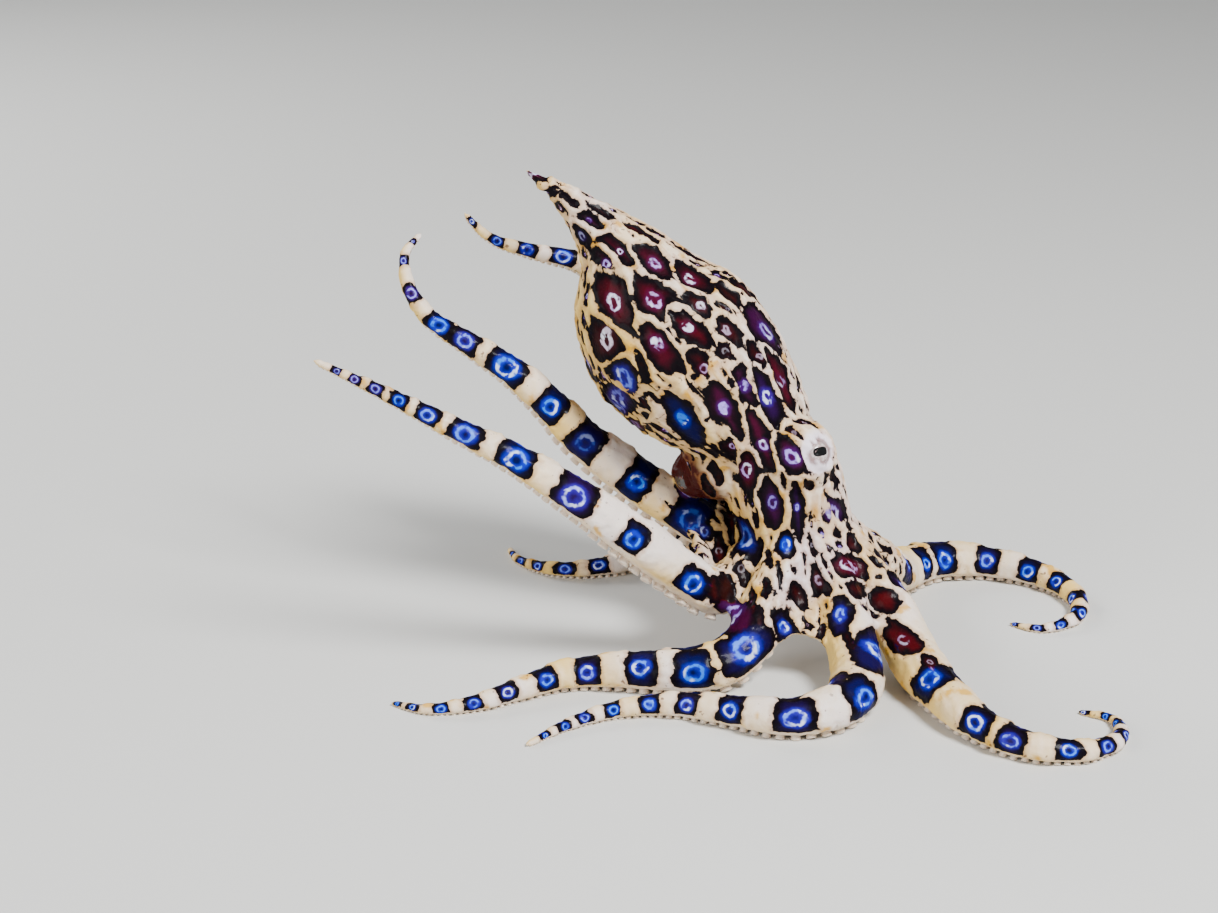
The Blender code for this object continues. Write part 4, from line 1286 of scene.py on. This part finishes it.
# %% [markdown]
# ## Materials
#
# Small helpers add nodes and link them, so that each finish reads as a short recipe. A number that is
# the same all over a surface is set on the shader's own socket.

# %% Helpers for materials
class Recipe:
    """A material's node tree, with short ways to add to it."""

    def __init__(self, name):
        self.material = bpy.data.materials.new(name)
        self.material.use_nodes = True
        self.tree = self.material.node_tree
        self.shader = self.tree.nodes["Principled BSDF"]

    def set(self, **values):
        """Sets the shader's sockets, named with low lines for spaces."""
        for name, value in values.items():
            self.feed(self.shader.inputs[name.replace("_", " ")], value)

    def node(self, kind, **settings):
        """A new node with these settings."""
        made = self.tree.nodes.new(kind)
        for key, value in settings.items():
            setattr(made, key, value)
        return made

    def feed(self, socket, value):
        """Links a node's output to a socket, or sets a plain value on it."""
        if isinstance(value, bpy.types.NodeSocket):
            self.tree.links.new(value, socket)
        else:
            socket.default_value = value

    def math(self, operation, *values, clamp=False):
        made = self.node("ShaderNodeMath", operation=operation, use_clamp=clamp)
        for socket, value in zip(made.inputs, values):
            self.feed(socket, value)
        return made.outputs[0]

    def power_sum(self, first, second, power):
        return self.math("ADD", self.math("POWER", first, power), self.math("POWER", second, power))

    def step(self, value, low, high):
        """0 below low and 1 above high, or the other way round where high is below low."""
        made = self.node("ShaderNodeMapRange", interpolation_type="SMOOTHSTEP")
        first, last = (0, 1) if low < high else (1, 0)
        for socket, item in zip(made.inputs, (value, min(low, high), max(low, high), first, last)):
            self.feed(socket, item)
        return made.outputs[0]

    def mix(self, share, first, second):
        """The first colour, turned by that share into the second."""
        made = self.node("ShaderNodeMix", data_type="RGBA")
        self.feed(made.inputs["Factor"], share)
        for name, item in (("A", first), ("B", second)):
            socket = next(s for s in made.inputs if s.name == name and s.type == "RGBA")
            self.feed(socket, (*item, 1) if isinstance(item, tuple) else item)
        return next(s for s in made.outputs if s.type == "RGBA")

    def attribute(self, name, output="Fac"):
        return self.node("ShaderNodeAttribute", attribute_name=name).outputs[output]

    def noise(self, scale, detail=2.0, rough=0.5):
        """Noise through the piece, so many times to the metre."""
        made = self.node("ShaderNodeTexNoise")
        self.feed(made.inputs["Vector"], self.node("ShaderNodeTexCoord").outputs["Object"])
        made.inputs["Scale"].default_value = scale
        made.inputs["Detail"].default_value = detail
        made.inputs["Roughness"].default_value = rough
        return made.outputs["Fac"]

    def ramp(self, value, stops):
        """Colours along a value from 0 to 1."""
        made = self.node("ShaderNodeValToRGB")
        self.feed(made.inputs["Fac"], value)
        elements = made.color_ramp.elements
        while len(elements) < len(stops):
            elements.new(0.5)
        for element, (place, colour) in zip(elements, stops):
            element.position = place
            element.color = (*colour, 1)
        return made.outputs["Color"]

    def bump(self, height, depth, normal=None):
        """Fine unevenness that is too small for the mesh."""
        made = self.node("ShaderNodeBump")
        made.inputs["Strength"].default_value = 1
        made.inputs["Distance"].default_value = depth
        self.feed(made.inputs["Height"], height)
        if normal is not None:
            self.feed(made.inputs["Normal"], normal)
        return made.outputs["Normal"]


# %% [markdown]
# ### Skin
#
# The dark marks lie over the tint. Noise frays the edge of each patch and bends each ring. A patch is
# darkest at its edge, and its ring looks lit: violet-white on the mantle, cobalt on the arms. The glow is
# only a brighter colour round the ring's line, because the real skin reflects light and gives none. Pale
# spots along the line are painted highlights.

# %% Skin material
TAN = (0.36, 0.16, 0.06)
FRECKLE = (0.10, 0.035, 0.02)
EDGE_BLACK = (0.003, 0.0015, 0.003)
MARK_COLOURS = ((0.0, (0.010, 0.003, 0.002)), (0.5, (0.050, 0.0015, 0.003)), (0.64, (0.050, 0.001, 0.010)),
                (0.80, (0.016, 0.001, 0.032)), (1.0, (0.0015, 0.002, 0.045)))
GLOW_COLOURS = ((0.0, (0.02, 0.004, 0.006)), (0.5, (0.068, 0.002, 0.011)), (0.64, (0.062, 0.002, 0.038)),
                (0.80, (0.038, 0.004, 0.19)), (1.0, (0.002, 0.012, 0.43)))
LINE_COLOURS = ((0.0, (0.78, 0.72, 0.72)), (0.5, (0.62, 0.38, 0.74)), (0.74, (0.36, 0.28, 0.92)),
                (1.0, (0.012, 0.20, 0.90)))
# A painted highlight: the pale colour of the spots along the rings' lines.
PAINTED_GLINT = (0.80, 0.86, 0.95)
TAN_SHARE, FRECKLE_SHARE, PAINTED_GLINT_SHARE = 0.5, 0.75, 0.8

# Noises: how many to the metre, detail and roughness.
FRAY_NOISE, BEND_NOISE = (900, 3, 0.5), (800, 2)
FRECKLE_NOISE, BREAK_NOISE, PAINTED_GLINT_NOISE = (1300, 2), (1000, 1), (420, 1)
GRAIN_NOISE, WRINKLE_NOISE, WET_NOISE = (3000, 3, 0.6), (900, 3), (1500,)
GRAIN_DEPTH, WRINKLE_DEPTH = 0.05 * MM, 0.14 * MM
DULLEST, DULL_SPREAD = 0.38, 0.2

# Steps on the way to a patch's edge in millimetres, and on the way to a ring's line in shares of its patch.
FRAY = 0.9
TAN_RIM = (0.6, 0.0)
FRECKLED = (2.6, 0.4)
PATCH_EDGE = (0.05, -0.07)
BLACK_RIM = (-0.25, -1.75)
BEND = 0.34
GLOW_WIDTH = (0.38, 0.03)
LINE_WIDTH = (0.13, 0.04)
FRECKLE_FROM, BREAK_FROM, PAINTED_GLINT_FROM = (0.66, 0.72), (0.34, 0.50), (0.52, 0.60)


def cream_net(recipe, edge):
    """The tint, browner beside the patches, with freckles near them."""
    rim = recipe.math("MULTIPLY", recipe.step(edge, *TAN_RIM), TAN_SHARE)
    net = recipe.mix(rim, recipe.attribute("tint", "Color"), TAN)
    freckle = recipe.step(recipe.noise(*FRECKLE_NOISE), *FRECKLE_FROM)
    freckle = recipe.math("MULTIPLY", freckle, recipe.step(edge, *FRECKLED))
    return recipe.mix(recipe.math("MULTIPLY", freckle, FRECKLE_SHARE), net, FRECKLE)


def dark_mark(recipe, edge):
    """The patch's dark colour, with its glow, its ring's broken line and painted highlights on that line."""
    bent = recipe.math("MULTIPLY_ADD", recipe.noise(*BEND_NOISE), BEND, recipe.attribute("ring"))
    beside_ring = recipe.math("ABSOLUTE", recipe.math("SUBTRACT", bent, BEND / 2))
    shine_here = recipe.attribute("shine")
    tone_here = recipe.math("MULTIPLY_ADD", recipe.attribute("tone"), 0.5, 0.5, clamp=True)
    mark = recipe.mix(recipe.step(edge, *BLACK_RIM), EDGE_BLACK, recipe.ramp(tone_here, MARK_COLOURS))
    glow = recipe.math("MULTIPLY", recipe.step(beside_ring, *GLOW_WIDTH), shine_here)
    mark = recipe.mix(glow, mark, recipe.ramp(tone_here, GLOW_COLOURS))
    broken = recipe.math("MULTIPLY", shine_here, recipe.step(recipe.noise(*BREAK_NOISE), *BREAK_FROM))
    line = recipe.math("MULTIPLY", recipe.step(beside_ring, *LINE_WIDTH), broken)
    mark = recipe.mix(line, mark, recipe.ramp(tone_here, LINE_COLOURS))
    # Painted highlights: pale spots on the ring's line, where the noise is high.
    painted_glint = recipe.math("MULTIPLY", line, recipe.step(recipe.noise(*PAINTED_GLINT_NOISE), *PAINTED_GLINT_FROM))
    return recipe.mix(recipe.math("MULTIPLY", painted_glint, PAINTED_GLINT_SHARE), mark, PAINTED_GLINT)


def skin_material():
    recipe = Recipe("octopus skin")
    frayed = recipe.math("MULTIPLY_ADD", recipe.noise(*FRAY_NOISE), FRAY, recipe.attribute("patch"))
    edge = recipe.math("SUBTRACT", frayed, FRAY / 2)
    colour = recipe.mix(recipe.step(edge, *PATCH_EDGE), cream_net(recipe, edge), dark_mark(recipe, edge))
    shade = recipe.math("MULTIPLY_ADD", recipe.noise(*WET_NOISE), DULL_SPREAD, DULLEST)
    grain = recipe.bump(recipe.noise(*GRAIN_NOISE), GRAIN_DEPTH)
    wrinkles = recipe.bump(recipe.noise(*WRINKLE_NOISE), WRINKLE_DEPTH, grain)
    recipe.set(Base_Color=colour, Roughness=shade, Normal=wrinkles,
               Subsurface_Weight=0.05, Subsurface_Radius=(1.0, 0.45, 0.3), Subsurface_Scale=0.3 * MM,
               Specular_IOR_Level=0.04, Coat_Weight=0.05, Coat_Roughness=0.12)
    return recipe.material


skin.data.materials.clear()
skin.data.materials.append(skin_material())
pick(skin)
bpy.ops.object.shade_smooth()
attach(skin, "root")
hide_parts(*[name for name in frame["nodes"] if not name.startswith("eye")])
print("skin finished:", len(skin.data.polygons), "faces")

# %% [markdown]
# ## Suckers
#
# Two rows of suckers alternate along each arm's underside, closer and finer than the solid ones. Each is
# a low cup with a swollen rim and a pit. It could be a copy of one cup, but all of them differ in size and
# lean, and their rims are flattened where they rest on the floor, so each is built of rings of points. They
# are stood on the skin where a ray from the arm's middle line meets it.

# %% Suckers
CUP_SIDES = 10
CUP_PROFILE = ((0.80, -0.45), (0.90, 0.35), (1.0, 0.75), (0.93, 1.0), (0.70, 0.98), (0.48, 0.45))
CUP_RADIUS = (0.10 * MM, 0.215)
CUP_STAND = (0.07 * MM, 0.20)
CUP_STEP = (0.12 * MM, 0.27)
CUP_SPREAD = math.radians(25)
CUP_START = 2.5 * MM
CUP_END = 0.8 * MM
CUP_REACH = 2.2
CUP_LEAN = 0.8
CUP_CREAM = (0.70, 0.58, 0.46)
CUP_MOTTLE, CUP_GRAIN = (900, 2), (3200, 2)
CUP_GRAIN_DEPTH = 0.03 * MM


def add_cup(mesh, foot, axis, along, radius, stand):
    """One sucker as rings of points joined by faces, with a small face at the bottom of its pit."""
    across = axis.cross(along).normalized()
    along = across.cross(axis)
    turns = [2 * math.pi * k / CUP_SIDES for k in range(CUP_SIDES)]
    lower = None
    for wide, high in CUP_PROFILE:
        lift = axis * (high * stand)
        points = [foot + (along * math.cos(a) + across * math.sin(a)) * (wide * radius) + lift for a in turns]
        upper = [mesh.verts.new((p.x, p.y, max(p.z, 0))) for p in points]
        for k in range(CUP_SIDES if lower else 0):
            n = (k + 1) % CUP_SIDES
            mesh.faces.new((lower[k], lower[n], upper[n], upper[k]))
        lower = upper
    mesh.faces.new(lower)


def sucker_rows(arm):
    """All of one arm's suckers as one mesh."""
    mesh = bmesh.new()
    s, side, count = CUP_START, 1, 0
    while s < arm.length - CUP_END:
        middle, tangent, outer, across = arm.frame(s)
        way = across * (side * math.sin(CUP_SPREAD)) - outer * math.cos(CUP_SPREAD)
        radius = CUP_RADIUS[0] + CUP_RADIUS[1] * arm.radius(s)
        foot, normal, _, far = under_skin.ray_cast(middle, way)
        if foot is not None and far < CUP_REACH * arm.radius(s):
            axis = (way + normal * CUP_LEAN).normalized()
            add_cup(mesh, foot, axis, tangent, radius, CUP_STAND[0] + CUP_STAND[1] * arm.radius(s))
            count += 1
        s += CUP_STEP[0] + CUP_STEP[1] * arm.radius(s)
        side = -side
    thing = bpy.data.objects.new(f"suckers_{arm.name}", bpy.data.meshes.new(f"suckers_{arm.name}"))
    bmesh.ops.recalc_face_normals(mesh, faces=mesh.faces)
    mesh.to_mesh(thing.data)
    mesh.free()
    bpy.context.collection.objects.link(thing)
    return thing, count


def sucker_material():
    recipe = Recipe("suckers")
    colour = recipe.mix(recipe.noise(*CUP_MOTTLE), CUP_CREAM, UNDERSIDE)
    grain = recipe.bump(recipe.noise(*CUP_GRAIN), CUP_GRAIN_DEPTH)
    recipe.set(Base_Color=colour, Roughness=0.35, Normal=grain, Subsurface_Weight=0.1,
               Subsurface_Radius=(1.0, 0.5, 0.35), Subsurface_Scale=0.4 * MM)
    return recipe.material


under_skin = BVHTree.FromObject(skin, bpy.context.evaluated_depsgraph_get())
cup_finish = sucker_material()
for arm in arms.values():
    row, count = sucker_rows(arm)
    row.data.materials.append(cup_finish)
    pick(row)
    bpy.ops.object.shade_smooth()
    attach(row, "root")
    print(row.name, count, "suckers,", len(row.data.polygons), "faces")

# %% [markdown]
# ## Eyes
#
# The eyeball is a glossy ball. The left eye's iris is as pale as its mound, and the right one's is
# red-brown. The pupil is a black slit that lies level with the horizon, as an octopus keeps it however its
# body is tilted. The iris is drawn by two numbers kept at each point: how far it lies to the side of the
# way of looking, and how far above it. An iris of its own under a clear shell would look no different on an
# eye that is only 4 mm wide.

# %% Eyes
EYE_SEGMENTS, EYE_RINGS = 64, 48
PUPIL_WIDE = 1.02
PUPIL_HIGH = 0.58
PUPIL_SINK = 0.12 * MM
PUPIL_DIP = (0.6, 1.1)
PUPIL_POWER, PUPIL_ROOT = 3, 0.33
PUPIL_EDGE = (1.08, 0.96)
IRIS_EDGE = (1.15, 1.5)
IRIS_NOISE = (2600, 3)
IRIS_STREAKS = (0.35, 0.68)
OFF_IRIS = 9
# Each iris: its light streaks, its dark streaks and the ball's colour round it.
IRISES = {
    "eye_left": ((0.66, 0.58, 0.58), (0.36, 0.26, 0.25), (0.20, 0.13, 0.14)),
    "eye_right": ((0.17, 0.035, 0.012), (0.030, 0.006, 0.004), (0.030, 0.010, 0.012)),
}
PUPIL_BLACK = (0.0008, 0.0008, 0.0012)


def eyeball(name):
    """A ball in its socket, a little dented at the pupil."""
    center, look, _ = eye_place(name)
    deselect()
    bpy.ops.mesh.primitive_uv_sphere_add(segments=EYE_SEGMENTS, ring_count=EYE_RINGS, radius=EYE_RADIUS)
    ball = bpy.context.object
    ball.name = f"visual_{name}"
    local = coordinates(ball)
    front = local[:, 2] > 0
    slit = np.sqrt((local[:, 0] / (PUPIL_WIDE * MM)) ** 2 + (local[:, 1] / (PUPIL_HIGH * MM)) ** 2)
    sink = np.where(front, (1 - smoothstep(*PUPIL_DIP, slit)) * PUPIL_SINK, 0)
    keep_attribute(ball, "across", np.where(front, local[:, 0] / MM, OFF_IRIS))
    keep_attribute(ball, "upward", local[:, 1] / MM)
    shrunk = local * (1 - sink / EYE_RADIUS)[:, None]
    set_coordinates(ball, shrunk @ np.array(eye_turn(look)).T + np.array(center))
    bpy.ops.object.shade_smooth()
    return ball


def eye_material(name):
    recipe = Recipe(name)
    light, dark, rim = IRISES[name]
    across, upward = recipe.attribute("across"), recipe.attribute("upward")
    flat = recipe.math("ABSOLUTE", recipe.math("DIVIDE", across, PUPIL_WIDE))
    tall = recipe.math("ABSOLUTE", recipe.math("DIVIDE", upward, PUPIL_HIGH))
    slit = recipe.math("POWER", recipe.power_sum(flat, tall, PUPIL_POWER), PUPIL_ROOT)
    out = recipe.math("SQRT", recipe.power_sum(across, upward, 2))
    streaks = recipe.step(recipe.noise(*IRIS_NOISE), *IRIS_STREAKS)
    colour = recipe.mix(streaks, dark, light)
    colour = recipe.mix(recipe.step(out, *IRIS_EDGE), colour, rim)
    colour = recipe.mix(recipe.step(slit, *PUPIL_EDGE), colour, PUPIL_BLACK)
    recipe.set(Base_Color=colour, Roughness=0.12, Coat_Weight=1.0, Coat_Roughness=0.03)
    return recipe.material


for name in EYES:
    ball = eyeball(name)
    ball.data.materials.append(eye_material(name))
    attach(ball, "root")
    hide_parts(name)
    print(ball.name, len(ball.data.polygons), "faces")

# %% [markdown]
# ## Floor and light
#
# A plain pale floor, a soft light from the upper right as in the photograph, a weaker one from the left,
# and a light from behind that draws the edges. The floor is wide, so that its far edge stays out of the
# views from the sides and from behind.

# %% Floor
FLOOR_SIZE = 12
FLOOR_GREY = (0.62, 0.62, 0.60, 1)

deselect()
bpy.ops.mesh.primitive_plane_add(size=FLOOR_SIZE)
floor = bpy.context.object
floor.name = "floor"
floor_recipe = Recipe("pale floor")
floor_recipe.set(Base_Color=FLOOR_GREY, Roughness=0.75)
floor.data.materials.append(floor_recipe.material)
print("floor:", FLOOR_SIZE, "m wide")

# %% Light
# Each light: name, place and size in millimetres, watts.
LIGHTS = (
    ("key", (230, -260, 420), 160, 6.0), ("fill", (-380, -280, 220), 300, 1.6),
    ("back", (-320, 300, 260), 200, 1.6))
SKY = (0.9, 0.92, 0.95, 1)
SKY_STRENGTH = 0.25


def add_light(name, place, size, watts):
    """A square lamp that shines at the octopus."""
    deselect()
    place = Vector(place) * MM
    turn = (LOOK_AT - place).to_track_quat("-Z", "Y").to_euler()
    bpy.ops.object.light_add(type="AREA", location=place, rotation=turn)
    light = bpy.context.object
    light.name = name
    light.data.size = size * MM
    light.data.energy = watts


for light in LIGHTS:
    add_light(*light)
world = bpy.data.worlds.new("studio")
world.use_nodes = True
sky = world.node_tree.nodes["Background"]
sky.inputs["Color"].default_value = SKY
sky.inputs["Strength"].default_value = SKY_STRENGTH
bpy.context.scene.world = world
print("lights:", [light[0] for light in LIGHTS])
